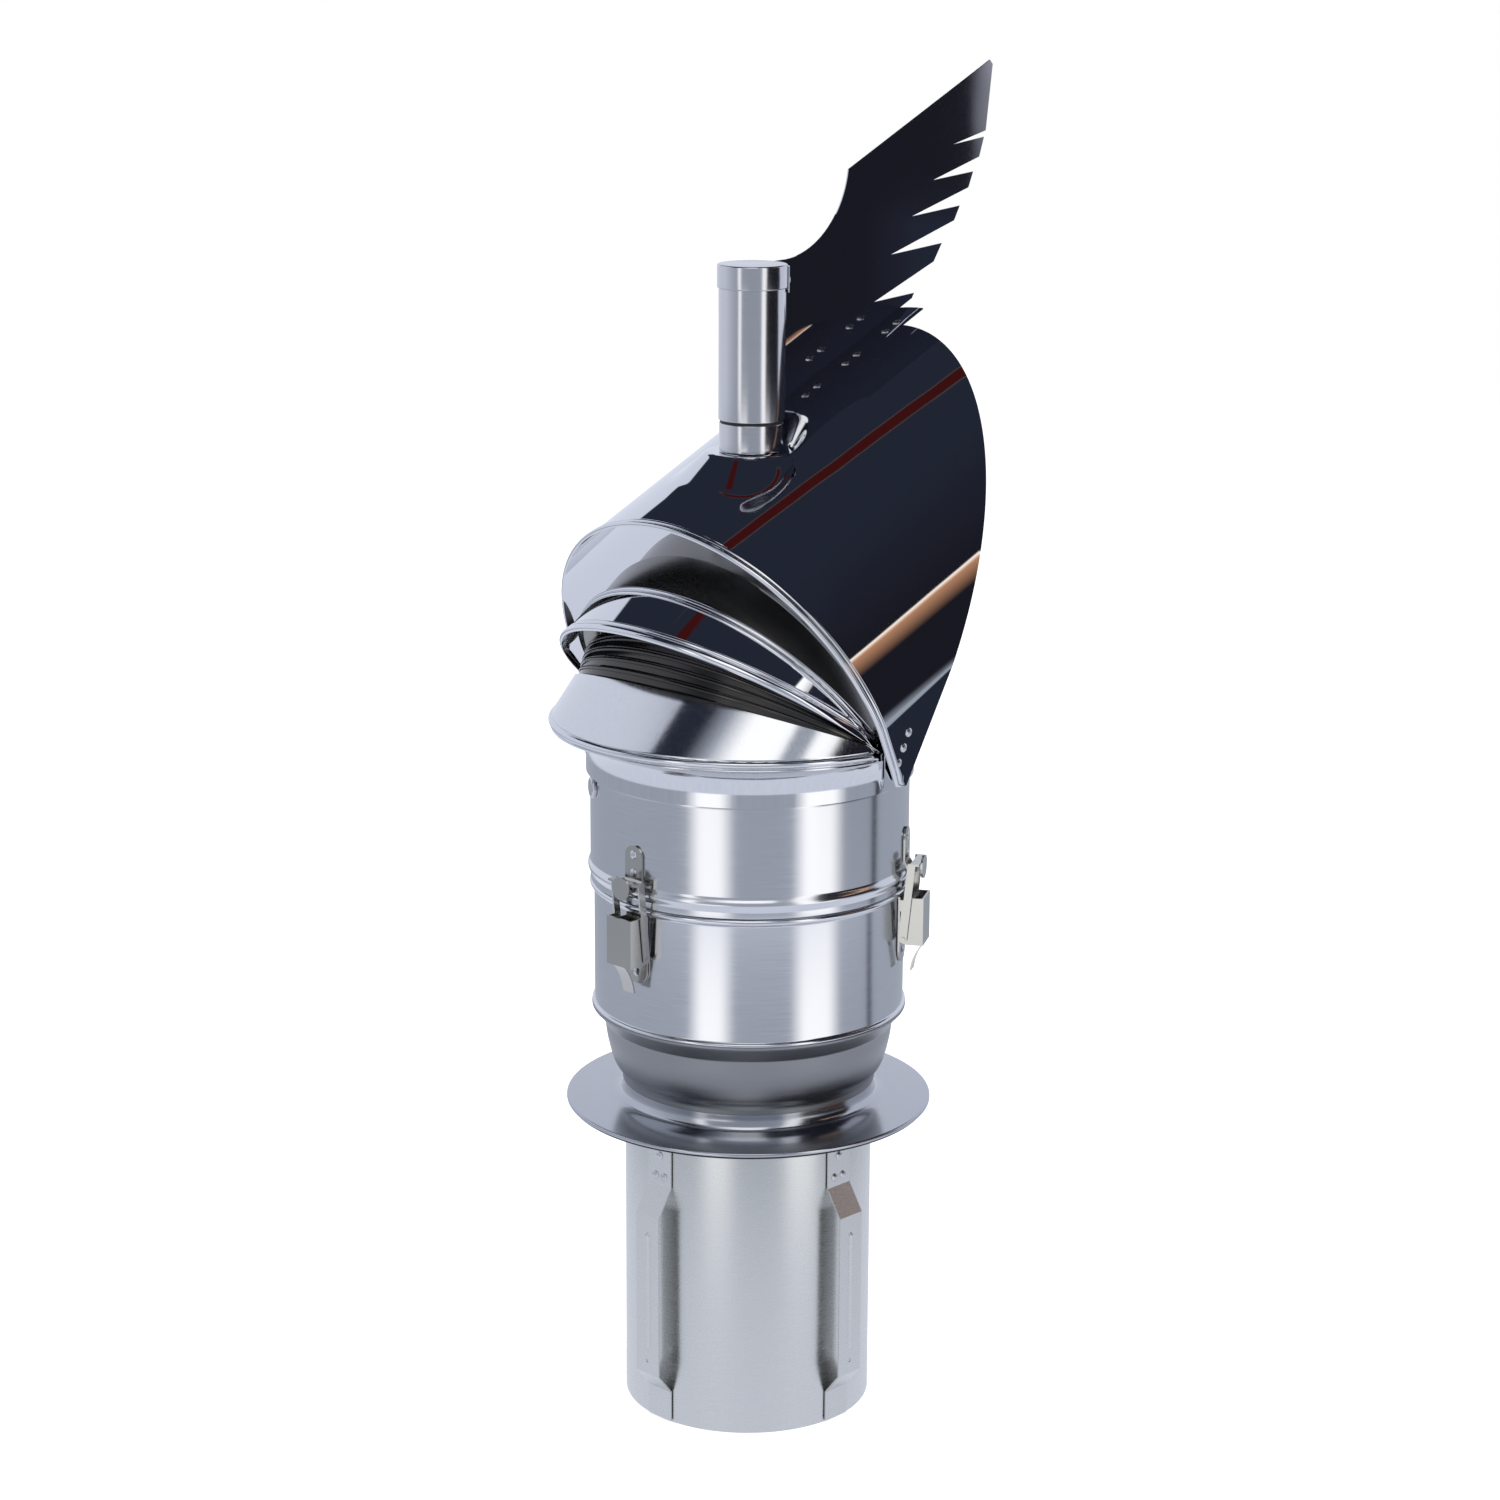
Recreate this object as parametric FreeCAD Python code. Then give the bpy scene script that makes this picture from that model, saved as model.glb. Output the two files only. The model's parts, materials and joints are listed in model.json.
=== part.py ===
"""Rotating chimney cowl for a 150 mm flue: a fixed drum on a spigot, and a head that turns into the wind.

Millimetres. The origin is on the turning axis at the open lower end of the spigot, +Z is up, and
+X is downwind: the hood's outlet and the fin point that way. The fixed base and the upper drum
stand still. The head hangs on two ball bearings at the top of an axle that a bar across the drum carries.
"""
import math
import os

import FreeCAD
import Part

V = FreeCAD.Vector
os.makedirs("parts", exist_ok=True)

# Sheet and fits
SHEET = 0.8
FIT = 0.02
RUN_FIT = 0.05
SIDE_GAP = 0.5

# Spigot, cover disc and its gasket
SPIGOT_R = 75.0
SPIGOT_WALL = 1.0
SPIGOT_TOP = 204.0
DISC_R = 110.7
SPIGOT_ABOVE_DISC = 11.5
DISC_Z = SPIGOT_TOP - SPIGOT_ABOVE_DISC
DISC_RIM_DROP = 2.0
DISC_FALL = 0.6
DISC_FILLET = 10.0
DISC_COLLAR_TOP = SPIGOT_TOP + 2.0
GASKET_W = 21.28
GASKET_T = 3.0

# Drums
LOWER_R = 93.2
SLEEVE_GAP = 1.4
UPPER_R = LOWER_R + SLEEVE_GAP + SHEET
REDUCER_H = 59.5
BASE_BEAD_Z = DISC_Z + REDUCER_H
BEVEL_H = 11.0
BEVEL_IN = 3.7
BOWL_BELLY = 3.6
BEAD_R = 1.8
LOWER_DRUM_H = 78.0
SEAM_Z = BASE_BEAD_Z + LOWER_DRUM_H
SEAM_BEAD_Z = SEAM_Z - 2.4
SPIGOT_IN_DRUM = 18.0
SWAGE_LOW = SEAM_Z + 4.6
SWAGE_HIGH = SEAM_Z + 11.8
SWAGE_OUT = 1.3
UPPER_DRUM_H = 69.0
UPPER_TOP = SEAM_Z + UPPER_DRUM_H
TOP_CURL = 3.0

# Leaf springs on the spigot
SPRING_N = 4
SPRING_W = 19.0
SPRING_T = 0.8
SPRING_BOW = 10.4
SPRING_Z = (DISC_Z - 4.0, DISC_Z - 41.5, DISC_Z - 58.0, 33.0, 20.0, 1.0)
RIB_R = 2.2
RIB_Z = (50.0, DISC_Z - 70.5)
SPRING_HOLE = (1.2, 41.0)
SPRING_RIVET_ROWS = ((DISC_Z - 22.5, 0.0), (DISC_Z - 35.5, 3.6), (DISC_Z - 35.5, -3.6))
RIVET_R = 1.6
RIVET_HEAD_R = 2.6
RIVET_HEAD_H = 0.9

# Toggle latches round the parting seam
LATCH_ANGLES = (180.0, -60.0, 60.0)
LATCH_T = 1.2
PLATE_HALF = 8.5
PLATE_Z = (SEAM_Z - 47.5, SEAM_Z - 5.3)
PLATE_RIVET_Z = (SEAM_Z - 40.5, SEAM_Z - 24.0)
PIVOT = (LOWER_R + 6.2, SEAM_Z - 10.5)
PIN_R = 1.5
LEVER_ARM = 20.0
LEVER_START = -6.9
LEVER_DEPTH = 9.4
LEVER_Z = (PIVOT[1] - LEVER_ARM - 3.5, PIVOT[1] + 5.5)
TONGUE_Z = SEAM_Z - 51.5
TONGUE_R = LOWER_R + 6.8
TONGUE_W = 9.0
LEVER_T = 1.0
LINK_T = 1.2
LINK_W = 4.6
HOOK = (UPPER_R + 5.9, SEAM_Z + 13.0)
HOOK_ROD_R = 1.0
KEEPER_TOP = SEAM_Z + 38.0
KEEPER_RIVET_Z = (SEAM_Z + 31.0, SEAM_Z + 20.0)
KEEPER_BEND_Z = SEAM_Z + 16.0
HOOK_LIP = 1.8
TAB_W = 14.0
TAB_Z = (SEAM_Z + 5.5, SEAM_Z + 16.4)

# Hood: a round crown on sides that lean in, and the level pad for the collar
HOOD_R = 123.5
HOOD_AXIS_Z = UPPER_TOP + 53.8
HOOD_SLOPE = 24.5
HOOD_SIDE_DROP = 45.0
HOOD_SIDE_IN = 3.8
PAD_SINK = 1.52
COLLAR_Z = HOOD_AXIS_Z + HOOD_R / math.cos(math.radians(HOOD_SLOPE)) - PAD_SINK

# Bearing bar, axle and bearings
BAR_ANGLE = 150.0
BAR_W = 26.0
BAR_T = 5.0
BAR_Z = UPPER_TOP - 23.0
BAR_TURN_UP = 19.0
BOLT_Z = UPPER_TOP - 9.0
BOLT_R = 4.0
BOLT_HEAD_R = 6.5
BOLT_HEAD_H = 2.6
BOLT_TAIL = 9.0
BOLT_NUT = (13.0, 6.5)
AXLE_R = 7.5
AXLE_SHOULDER_R = AXLE_R + 2.5
AXLE_TOP = COLLAR_Z + 90.0
NUT_FLATS = 24.0
NUT_H = 8.0
WASHER_R = 15.0
WASHER_T = 2.0
BEARING_W = 11.0
BEARING_OUT_R = 17.5
BEARING_Z = (COLLAR_Z + 25.0, COLLAR_Z + 68.0)
BALL_N = 7
RACE_T = 2.7
BALL_SINK = 0.72

# Tube, collar and cap over the bearings
TUBE_WALL = 2.0
TUBE_R = BEARING_OUT_R + TUBE_WALL
TUBE_Z = (COLLAR_Z + 18.0, COLLAR_Z + 94.5)
COLLAR_R = TUBE_R - 0.5
SEAL_T = 1.6
STEP_IN = 2.0
STEP_BORE = BEARING_OUT_R - STEP_IN
CAP_LIP = 0.9
CAP_R = TUBE_R + CAP_LIP
CAP_H = 13.5
CAP_TOP = TUBE_Z[1] + CAP_H
CAP_SPIGOT = 7.0
CAP_EDGE = 1.0

# Visor: the planes that slice the hood, the middle segment and the lower segment
LIP_TOP = (-81.0, UPPER_TOP + 152.0)
LIP_EAR = (-3.5, UPPER_TOP + 7.0)
OUTLET_TOP = (131.5, UPPER_TOP + 249.0)
OUTLET_EAR = (5.5, UPPER_TOP + 7.0)
LIP_BEAD_R = 2.0
GROOVE_BEAD_R = 1.4
BEAD_STEP = 5.2
LIP_IN = 1.2
HOOD_BEAD_LOW = (UPPER_TOP + 27.0, UPPER_TOP + 32.0)
MIDDLE_BEAD_UP = (8.0, 16.0, 14.0, 18.0)
PAD_R = 26.0
PAD_DOWN = 42.0
PAD_UP = 58.0
PAD_REACH = 34.0
MIDDLE_EAR = (-3.0, UPPER_TOP + 21.0)
EAR_GAP = 0.1
MIDDLE_R = HOOD_R - HOOD_SIDE_IN - SHEET - EAR_GAP
MIDDLE_SLOPE = 36.0
MIDDLE_TILT = (35.5, 52.4)
LOWER_LIP_Z = UPPER_TOP + 28.0
TAB_GAP = 0.4
LOWER_SEG_R = MIDDLE_R - SHEET - TAB_GAP
LOWER_SEG_TILT = 26.34
LOWER_SEG_EAR = (3.3, UPPER_TOP + 12.0)
LOWER_SEG_LEAN = 8.4
LOWER_BEAD_OUT = 0.4
SKIRT_GAP = 1.6
SKIRT_R = UPPER_R + SKIRT_GAP + SHEET
SKIRT_Z = (UPPER_TOP - 2.5, UPPER_TOP + 5.0)
FLARE_SHARE = 0.335
SKIN_STEP = 0.6
EAR_TAB_X = (-12.0, 8.0)
BEAD_END_X = -20.0
EAR_TAB_Z = (UPPER_TOP + 11.0, UPPER_TOP + 45.0)
EAR_RIVETS = ((3.8, UPPER_TOP + 39.0), (0.2, UPPER_TOP + 30.5), (-3.4, UPPER_TOP + 22.0))

# Fin, with its points as (x, height above the collar's foot)
FIN_SIDE = 0.3
FIN_TIP = (231.9, 215.5)
FIN_CORNER = (234.6, 212.9)
FIN_FRONT = (103.5, 155.0)
FIN_FRONT_MID = (86.6, 121.9)
FIN_FRONT_END = (45.6, 105.3)
FIN_FEATHERS = (
    ((229.2, 172.5), (198.8, 165.4)),
    ((227.7, 168.7), (223.5, 156.7), (180.6, 144.6)),
    ((218.0, 147.9), (213.8, 138.3), (161.4, 123.7)),
    ((205.9, 127.6), (200.8, 118.8), (142.6, 101.7)),
    ((189.6, 105.6), (182.2, 94.7), (128.1, 74.1)),
    ((164.4, 76.8), (158.0, 66.6)),
)
FIN_FOOT = (34.0, 151.6)
FIN_TOP_FRONT = (33.6, 104.9)
FIN_RIVET_PAIRS = (18.15, 56.15, 95.15)
FIN_RIVET_STEP = 11.0
FIN_RIVET_Y = 6.0
FIN_FOOT_W = 21.5
TAB_STRAP_Z = (COLLAR_Z + 91.5, COLLAR_Z + 106.5)
TAB_STRAP_END = -48.0
CAP_RIVET_ANGLE = -33.0
CAP_RIVET_Z = COLLAR_Z + 98.5


def save(name, *solids):
    """Write one node, as one solid or a group of separate ones."""
    shape = solids[0] if len(solids) == 1 else Part.makeCompound(list(solids))
    shape.exportStep("parts/" + name + ".step")


def outline(steps, to3d, close=True):
    """A wire through the steps: (a, b) is a straight run, (a, b, c, d) an arc past (a, b) to (c, d)."""
    edges = []
    here = steps[0]
    for step in list(steps[1:]) + ([steps[0]] if close else []):
        if len(step) == 4:
            past, here_next = to3d(*step[:2]), step[2:]
            edges.append(Part.Arc(to3d(*here), past, to3d(*here_next)).toShape())
            here = here_next
        else:
            if abs(step[0] - here[0]) + abs(step[1] - here[1]) > 1e-6:
                edges.append(Part.makeLine(to3d(*here), to3d(*step)))
            here = step
    return Part.Wire(edges)


def in_rz(r, z):
    """Section plane of everything turned about the Z axis, and the plane of the fin."""
    return V(r, 0, z)


def turned(steps):
    """A solid of revolution about Z from a closed outline of (radius, height)."""
    return Part.Face(outline(steps, in_rz)).revolve(V(0, 0, 0), V(0, 0, 1), 360)


def tube(outer, inner, low, high):
    """A plain ring or tube about Z."""
    return turned([(inner, low), (outer, low), (outer, high), (inner, high)])


def prism(steps, half, shift=0.0):
    """An outline in the XZ plane, made thick to both sides of y = shift."""
    face = Part.Face(outline(steps, lambda a, b: V(a, shift - half, b)))
    return face.extrude(V(0, 2 * half, 0))


def turn(shape, angle):
    """A copy turned about the Z axis."""
    copy = shape.copy()
    copy.rotate(V(0, 0, 0), V(0, 0, 1), angle)
    return copy


def rod(r, length, start, along):
    """A round bar from a point along a direction."""
    return Part.makeCylinder(r, length, start, along)


def bent_strip(path, thick, half):
    """A flat strip folded along a path of (radius, height) points, thick towards the outside."""
    left, right = [], []
    for i, point in enumerate(path):
        before = path[max(i - 1, 0)]
        after = path[min(i + 1, len(path) - 1)]
        way_in = unit(point[0] - before[0], point[1] - before[1])
        way_out = unit(after[0] - point[0], after[1] - point[1])
        if i == 0:
            way_in = way_out
        if i == len(path) - 1:
            way_out = way_in
        side = unit(-(way_in[1] + way_out[1]), way_in[0] + way_out[0])
        spread = thick / (side[0] * -way_in[1] + side[1] * way_in[0])
        left.append(point)
        right.append((point[0] + side[0] * spread, point[1] + side[1] * spread))
    return prism(left + right[::-1], half)


def unit(a, b):
    """The direction of a step, of length one; a step of no length stays so."""
    size = math.hypot(a, b)
    return (a / size, b / size) if size else (0.0, 0.0)


def rivet(shank, start, along):
    """A domed head at the start and a shank that ends flush behind."""
    edge = RIVET_HEAD_H * 0.35
    body = turned([(0, RIVET_HEAD_H), (RIVET_HEAD_R * 0.55, RIVET_HEAD_H * 0.88), (RIVET_HEAD_R, edge),
                   (RIVET_HEAD_R, 0), (RIVET_R, 0), (RIVET_R, -shank), (0, -shank)])
    body.Placement = FreeCAD.Placement(start, FreeCAD.Rotation(V(0, 0, 1), along))
    return body


def radial(angle):
    """Outward direction at an angle about Z."""
    return V(math.cos(math.radians(angle)), math.sin(math.radians(angle)), 0)


# Spigot with the rivet holes of its four leaf springs
spring_back = SPIGOT_R + FIT
spring_face = spring_back + SPRING_T
spring_angles = [180.0 + i * 360.0 / SPRING_N for i in range(SPRING_N)]
spigot = tube(SPIGOT_R, SPIGOT_R - SPIGOT_WALL, 0, SPIGOT_TOP)
spring_holes = [rod(RIVET_R + FIT, 20, V(SPIGOT_R - 10, side, z), V(1, 0, 0))
                for z, side in SPRING_RIVET_ROWS]
for angle in spring_angles:
    for hole in spring_holes:
        spigot = spigot.cut(turn(hole, angle))
save("flue_spigot", spigot)


def leaf_spring():
    """A strip that bows off the spigot to grip the flue, with a stamped rib and a punched hole."""
    top, out_start, out_end, in_start, in_end, foot = SPRING_Z
    bowed = spring_back + SPRING_BOW
    path = [(spring_back, foot), (spring_back, in_end), (bowed, in_start),
            (bowed, out_end), (spring_back, out_start), (spring_back, top)]
    strip = bent_strip(path, -SPRING_T, SPRING_W / 2)
    rib_axis = bowed + SPRING_T - RIB_R * 0.55
    rib = rod(RIB_R, RIB_Z[1] - RIB_Z[0], V(rib_axis, 0, RIB_Z[0]), V(0, 0, 1))
    for z in RIB_Z:
        rib = rib.fuse(Part.makeSphere(RIB_R, V(rib_axis, 0, z)))
    inside = prism([(bowed - 5, RIB_Z[0] - 5), (bowed, RIB_Z[0] - 5),
                    (bowed, RIB_Z[1] + 5), (bowed - 5, RIB_Z[1] + 5)], RIB_R * 2)
    strip = strip.fuse(rib.cut(inside))
    for hole in spring_holes:
        strip = strip.cut(hole)
    hole_r, hole_z = SPRING_HOLE
    return strip.cut(rod(hole_r, 10, V(bowed - 5, 0, hole_z), V(1, 0, 0))).removeSplitter()


spring = leaf_spring()
for i, angle in enumerate(spring_angles):
    save("leaf_spring_%d" % (i + 1), turn(spring, angle))
spring_shank = spring_face - (SPIGOT_R - SPIGOT_WALL * 0.5)
save("spring_rivets", *[turn(rivet(spring_shank, V(spring_face, side, z), V(1, 0, 0)), angle)
                        for angle in spring_angles for z, side in SPRING_RIVET_ROWS])

# Cover disc: collar, spun fillet, nearly flat plate and turned-down rim
collar_in = SPIGOT_R + FIT
collar_out = collar_in + SHEET
fillet_mid = DISC_FILLET * (1 - math.sqrt(0.5))
disc_edge = DISC_Z - DISC_FALL
save("base_disc", turned([
    (collar_in, DISC_COLLAR_TOP), (collar_in, DISC_Z), (DISC_R - SHEET, disc_edge),
    (DISC_R - SHEET, DISC_Z - DISC_RIM_DROP), (DISC_R, DISC_Z - DISC_RIM_DROP),
    (DISC_R, disc_edge + SHEET / 2),
    (DISC_R - SHEET / 4, disc_edge + SHEET * 0.75, DISC_R - SHEET, disc_edge + SHEET),
    (collar_out + DISC_FILLET, DISC_Z + SHEET),
    (collar_out + fillet_mid, DISC_Z + SHEET + fillet_mid, collar_out, DISC_Z + SHEET + DISC_FILLET),
    (collar_out, DISC_COLLAR_TOP)]))
gasket_top = disc_edge
gasket_in = spring_face + RIVET_HEAD_H
save("disc_gasket", tube(gasket_in + GASKET_W, gasket_in, gasket_top - GASKET_T, gasket_top))

# Reducer: neck over the disc's collar, bowl, bevel and the bead that carries the drum
neck_in = collar_out + FIT
neck_low = DISC_Z + SHEET + DISC_FILLET + 0.3
bowl_low = DISC_COLLAR_TOP + 2.0
bevel_z = BASE_BEAD_Z - BEVEL_H
bevel_r = LOWER_R - BEVEL_IN
bowl_mid = (bowl_low + bevel_z) / 2
bevel_foot = BASE_BEAD_Z - BEAD_R * 1.6


def reducer_side(out):
    """One skin of the reducer from its neck over the bowl to the bevel, moved out by a distance."""
    return [(neck_in + out, neck_low), (neck_in + out, bowl_low),
            (bevel_r - BOWL_BELLY + out, bowl_mid, bevel_r - SHEET + out, bevel_z),
            (LOWER_R - SHEET + out, bevel_foot)]


outer_skin = reducer_side(SHEET)
inner_skin = reducer_side(0.0)
reducer = Part.Face(Part.Wire(
    outline(outer_skin + [(LOWER_R, BASE_BEAD_Z)], in_rz, close=False).Edges
    + [Part.makeLine(in_rz(LOWER_R, BASE_BEAD_Z), in_rz(LOWER_R - SHEET, BASE_BEAD_Z))]
    + outline(inner_skin + [(LOWER_R - SHEET, BASE_BEAD_Z)], in_rz, close=False).Edges[::-1]
    + [Part.makeLine(in_rz(*inner_skin[0]), in_rz(*outer_skin[0]))])).revolve(V(0, 0, 0), V(0, 0, 1), 360)
bead_ring = Part.makeTorus(LOWER_R - 0.1, BEAD_R, V(0, 0, BASE_BEAD_Z), V(0, 0, 1))
bead_core = tube(LOWER_R - SHEET, LOWER_R - 6, BASE_BEAD_Z - 5, BASE_BEAD_Z + 5)
above_bead = tube(LOWER_R + 9, LOWER_R - 9, BASE_BEAD_Z, BASE_BEAD_Z + 9)
save("reducer", reducer.fuse(bead_ring.cut(bead_core).cut(above_bead)).removeSplitter())

# Lower drum: wall, seat bead under the seam and the spigot that the upper drum slips over
lower_top = SEAM_Z + SPIGOT_IN_DRUM
lower_wall = tube(LOWER_R, LOWER_R - SHEET, BASE_BEAD_Z, lower_top)
seat_bead = Part.makeTorus(LOWER_R + 0.2, SEAM_Z - SEAM_BEAD_Z, V(0, 0, SEAM_BEAD_Z), V(0, 0, 1))
seat_core = tube(LOWER_R - SHEET, LOWER_R - 6, SEAM_BEAD_Z - 5, SEAM_BEAD_Z + 5)
upper_half_bead = bead_ring.cut(bead_core).common(above_bead)
lower_drum = lower_wall.fuse([seat_bead.cut(seat_core), upper_half_bead])

# Upper drum: a sleeve with an outward swage above its edge and an inward curl at its top
swage_mid = (SWAGE_LOW + SWAGE_HIGH) / 2
upper_in = UPPER_R - SHEET
upper_drum = turned([
    (upper_in, SEAM_Z), (UPPER_R, SEAM_Z), (UPPER_R, SWAGE_LOW),
    (UPPER_R + SWAGE_OUT, swage_mid, UPPER_R, SWAGE_HIGH), (UPPER_R, UPPER_TOP - TOP_CURL),
    (UPPER_R - TOP_CURL, UPPER_TOP), (UPPER_R - TOP_CURL, UPPER_TOP - SHEET * 1.4),
    (upper_in, UPPER_TOP - TOP_CURL - SHEET * 0.4),
    (upper_in, SWAGE_HIGH), (upper_in + SWAGE_OUT, swage_mid, upper_in, SWAGE_LOW)])

# Toggle latches, first modelled at angle 0, where +X is straight out of the drum
plate_back = LOWER_R + FIT
plate_face = plate_back + LATCH_T
keeper_back = UPPER_R + FIT
keeper_face = keeper_back + LATCH_T
ear_in = PLATE_HALF - LATCH_T
lever_in = PLATE_HALF + SIDE_GAP
lever_out = lever_in + LEVER_T
link_in = lever_out + SIDE_GAP
link_out = link_in + LINK_T
swing = math.radians(LEVER_START)
LINK_PIVOT = (PIVOT[0] + LEVER_ARM * math.sin(swing), PIVOT[1] - LEVER_ARM * math.cos(swing))


def across(r, half, at):
    """A round bar across the latch at a point (radius, height)."""
    return rod(r, 2 * half, V(at[0], -half, at[1]), V(0, 1, 0))


def side_pair(solid_of_half, inner, outer):
    """The part of a solid that lies between two distances on both sides of the latch's middle."""
    middle = Part.makeBox(400, 2 * inner, 900, V(-100, -inner, 0))
    return solid_of_half(outer).cut(middle)


def latch_plate():
    """Base plate with a rounded foot and two ears for the lever's pivot."""
    low, high = PLATE_Z
    foot = low + PLATE_HALF
    plate = Part.makeBox(LATCH_T, 2 * PLATE_HALF, high - foot, V(plate_back, -PLATE_HALF, foot))
    plate = plate.fuse(rod(PLATE_HALF, LATCH_T, V(plate_back, 0, foot), V(1, 0, 0)))
    reach = PIN_R * 2.3
    ears = side_pair(lambda half: prism([
        (plate_back, PIVOT[1] - reach), (PIVOT[0], PIVOT[1] - reach),
        (PIVOT[0] + reach, PIVOT[1], PIVOT[0], PIVOT[1] + reach), (plate_back, PIVOT[1] + reach)], half),
        ear_in, PLATE_HALF)
    plate = plate.fuse(ears).cut(across(PIN_R + FIT, 20, PIVOT))
    for z in PLATE_RIVET_Z:
        plate = plate.cut(rod(RIVET_R + FIT, 10, V(plate_back - 5, 0, z), V(1, 0, 0)))
    return plate.removeSplitter()


def latch_lever():
    """Channel lever: two side walls, an outer web and a tongue for the finger."""
    low, high = LEVER_Z
    web = PIVOT[0] + LEVER_DEPTH
    heel = 3.2
    nose = 3.6
    cheek = [(LINK_PIVOT[0] - heel, LINK_PIVOT[1]),
             (LINK_PIVOT[0], LINK_PIVOT[1] - heel, LINK_PIVOT[0] + heel, low),
             (web, low), (web, high), (PIVOT[0] + 1.5, high), (PIVOT[0] - nose, PIVOT[1])]
    walls = side_pair(lambda half: prism(cheek, half), lever_in, lever_out)
    face = prism([(web - LEVER_T, low), (web, low), (web, high), (web - LEVER_T, high)], lever_out)
    tongue = prism([(web - LEVER_T, low + 0.5), (web, low + 0.5), (web, low),
                    (TONGUE_R + 3.0 + LEVER_T, low - 7.0, TONGUE_R + LEVER_T, TONGUE_Z),
                    (TONGUE_R, TONGUE_Z), (TONGUE_R + 3.0, low - 7.0, web - LEVER_T, low)], TONGUE_W / 2)
    lever = walls.fuse([face, tongue])
    lever = lever.cut(across(PIN_R + RUN_FIT, 20, PIVOT))
    return lever.cut(across(PIN_R + FIT, 20, LINK_PIVOT)).removeSplitter()


def latch_link():
    """Two side bars, the rod that sits in the hook, and the bridge with its rounded thumb tab."""
    way = unit(HOOK[0] - LINK_PIVOT[0], HOOK[1] - LINK_PIVOT[1])
    out = (way[1] * LINK_W / 2, -way[0] * LINK_W / 2)
    low, top = LINK_PIVOT, (HOOK[0] + way[0] * 3.2, HOOK[1] + way[1] * 3.2)
    bar = [(low[0] + out[0], low[1] + out[1]), (top[0] + out[0], top[1] + out[1]),
           (top[0] - out[0], top[1] - out[1]), (low[0] - out[0], low[1] - out[1]),
           (low[0] - way[0] * LINK_W / 2, low[1] - way[1] * LINK_W / 2, low[0] + out[0], low[1] + out[1])]
    bars = side_pair(lambda half: prism(bar, half), link_in, link_out)
    bridge_low = HOOK[1] + HOOK_LIP + 0.4
    tab_face = HOOK[0] + HOOK_ROD_R + HOOK_LIP + 1.9
    bridge = prism([(HOOK[0] - 0.6, bridge_low), (tab_face, bridge_low),
                    (tab_face, bridge_low + LINK_T), (HOOK[0] - 0.6, bridge_low + LINK_T)], link_out)
    tab_low, tab_high = TAB_Z
    tab = Part.makeBox(LINK_T, TAB_W, tab_high - tab_low - TAB_W / 2,
                       V(tab_face, -TAB_W / 2, tab_low + TAB_W / 2))
    tab = tab.fuse(rod(TAB_W / 2, LINK_T, V(tab_face, 0, tab_low + TAB_W / 2), V(1, 0, 0)))
    link = bars.fuse([across(HOOK_ROD_R, link_out, HOOK), bridge, tab])
    return link.cut(across(PIN_R + RUN_FIT, 20, LINK_PIVOT)).removeSplitter()


def latch_keeper():
    """Plate with a rounded top whose lower end is folded out and up into the hook."""
    seat = HOOK[1] - HOOK_ROD_R - 0.1
    lip = HOOK[0] + HOOK_ROD_R + 0.8
    path = [(lip, HOOK[1] + HOOK_LIP - 0.8), (lip, seat - LATCH_T), (HOOK[0] - 3.0, seat - LATCH_T),
            (keeper_back, KEEPER_BEND_Z), (keeper_back, KEEPER_TOP - PLATE_HALF)]
    strip = bent_strip([(lip + LATCH_T, path[0][1]), (lip + LATCH_T, seat - LATCH_T)] + path[2:],
                       -LATCH_T, PLATE_HALF - 1.5)
    strip = strip.fuse(rod(PLATE_HALF - 1.5, LATCH_T, V(keeper_back, 0, KEEPER_TOP - PLATE_HALF), V(1, 0, 0)))
    for z in KEEPER_RIVET_Z:
        strip = strip.cut(rod(RIVET_R + FIT, 10, V(keeper_back - 5, 0, z), V(1, 0, 0)))
    return strip.removeSplitter()


plate, lever, link, keeper = latch_plate(), latch_lever(), latch_link(), latch_keeper()
pivot_pin = across(PIN_R, lever_out + 0.2, PIVOT)
link_pin = across(PIN_R, link_out + 0.4, LINK_PIVOT)
for i, angle in enumerate(LATCH_ANGLES):
    save("latch_plate_%d" % (i + 1), turn(plate, angle))
    save("latch_lever_%d" % (i + 1), turn(lever, angle))
    save("latch_link_%d" % (i + 1), turn(link, angle))
    save("latch_keeper_%d" % (i + 1), turn(keeper, angle))
    save("latch_pivot_pin_%d" % (i + 1), turn(pivot_pin, angle))
    save("latch_link_pin_%d" % (i + 1), turn(link_pin, angle))
plate_shank = plate_face - (LOWER_R - SHEET * 0.5)
keeper_shank = keeper_face - (UPPER_R - SHEET * 0.5)
save("latch_plate_rivets", *[turn(rivet(plate_shank, V(plate_face, 0, z), V(1, 0, 0)), angle)
                             for angle in LATCH_ANGLES for z in PLATE_RIVET_Z])
save("keeper_rivets", *[turn(rivet(keeper_shank, V(keeper_face, 0, z), V(1, 0, 0)), angle)
                        for angle in LATCH_ANGLES for z in KEEPER_RIVET_Z])
for angle in LATCH_ANGLES:
    for z in PLATE_RIVET_Z:
        lower_drum = lower_drum.cut(turn(rod(RIVET_R + FIT, 10, V(LOWER_R - 5, 0, z), V(1, 0, 0)), angle))
    for z in KEEPER_RIVET_Z:
        upper_drum = upper_drum.cut(turn(rod(RIVET_R + FIT, 10, V(UPPER_R - 5, 0, z), V(1, 0, 0)), angle))

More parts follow.
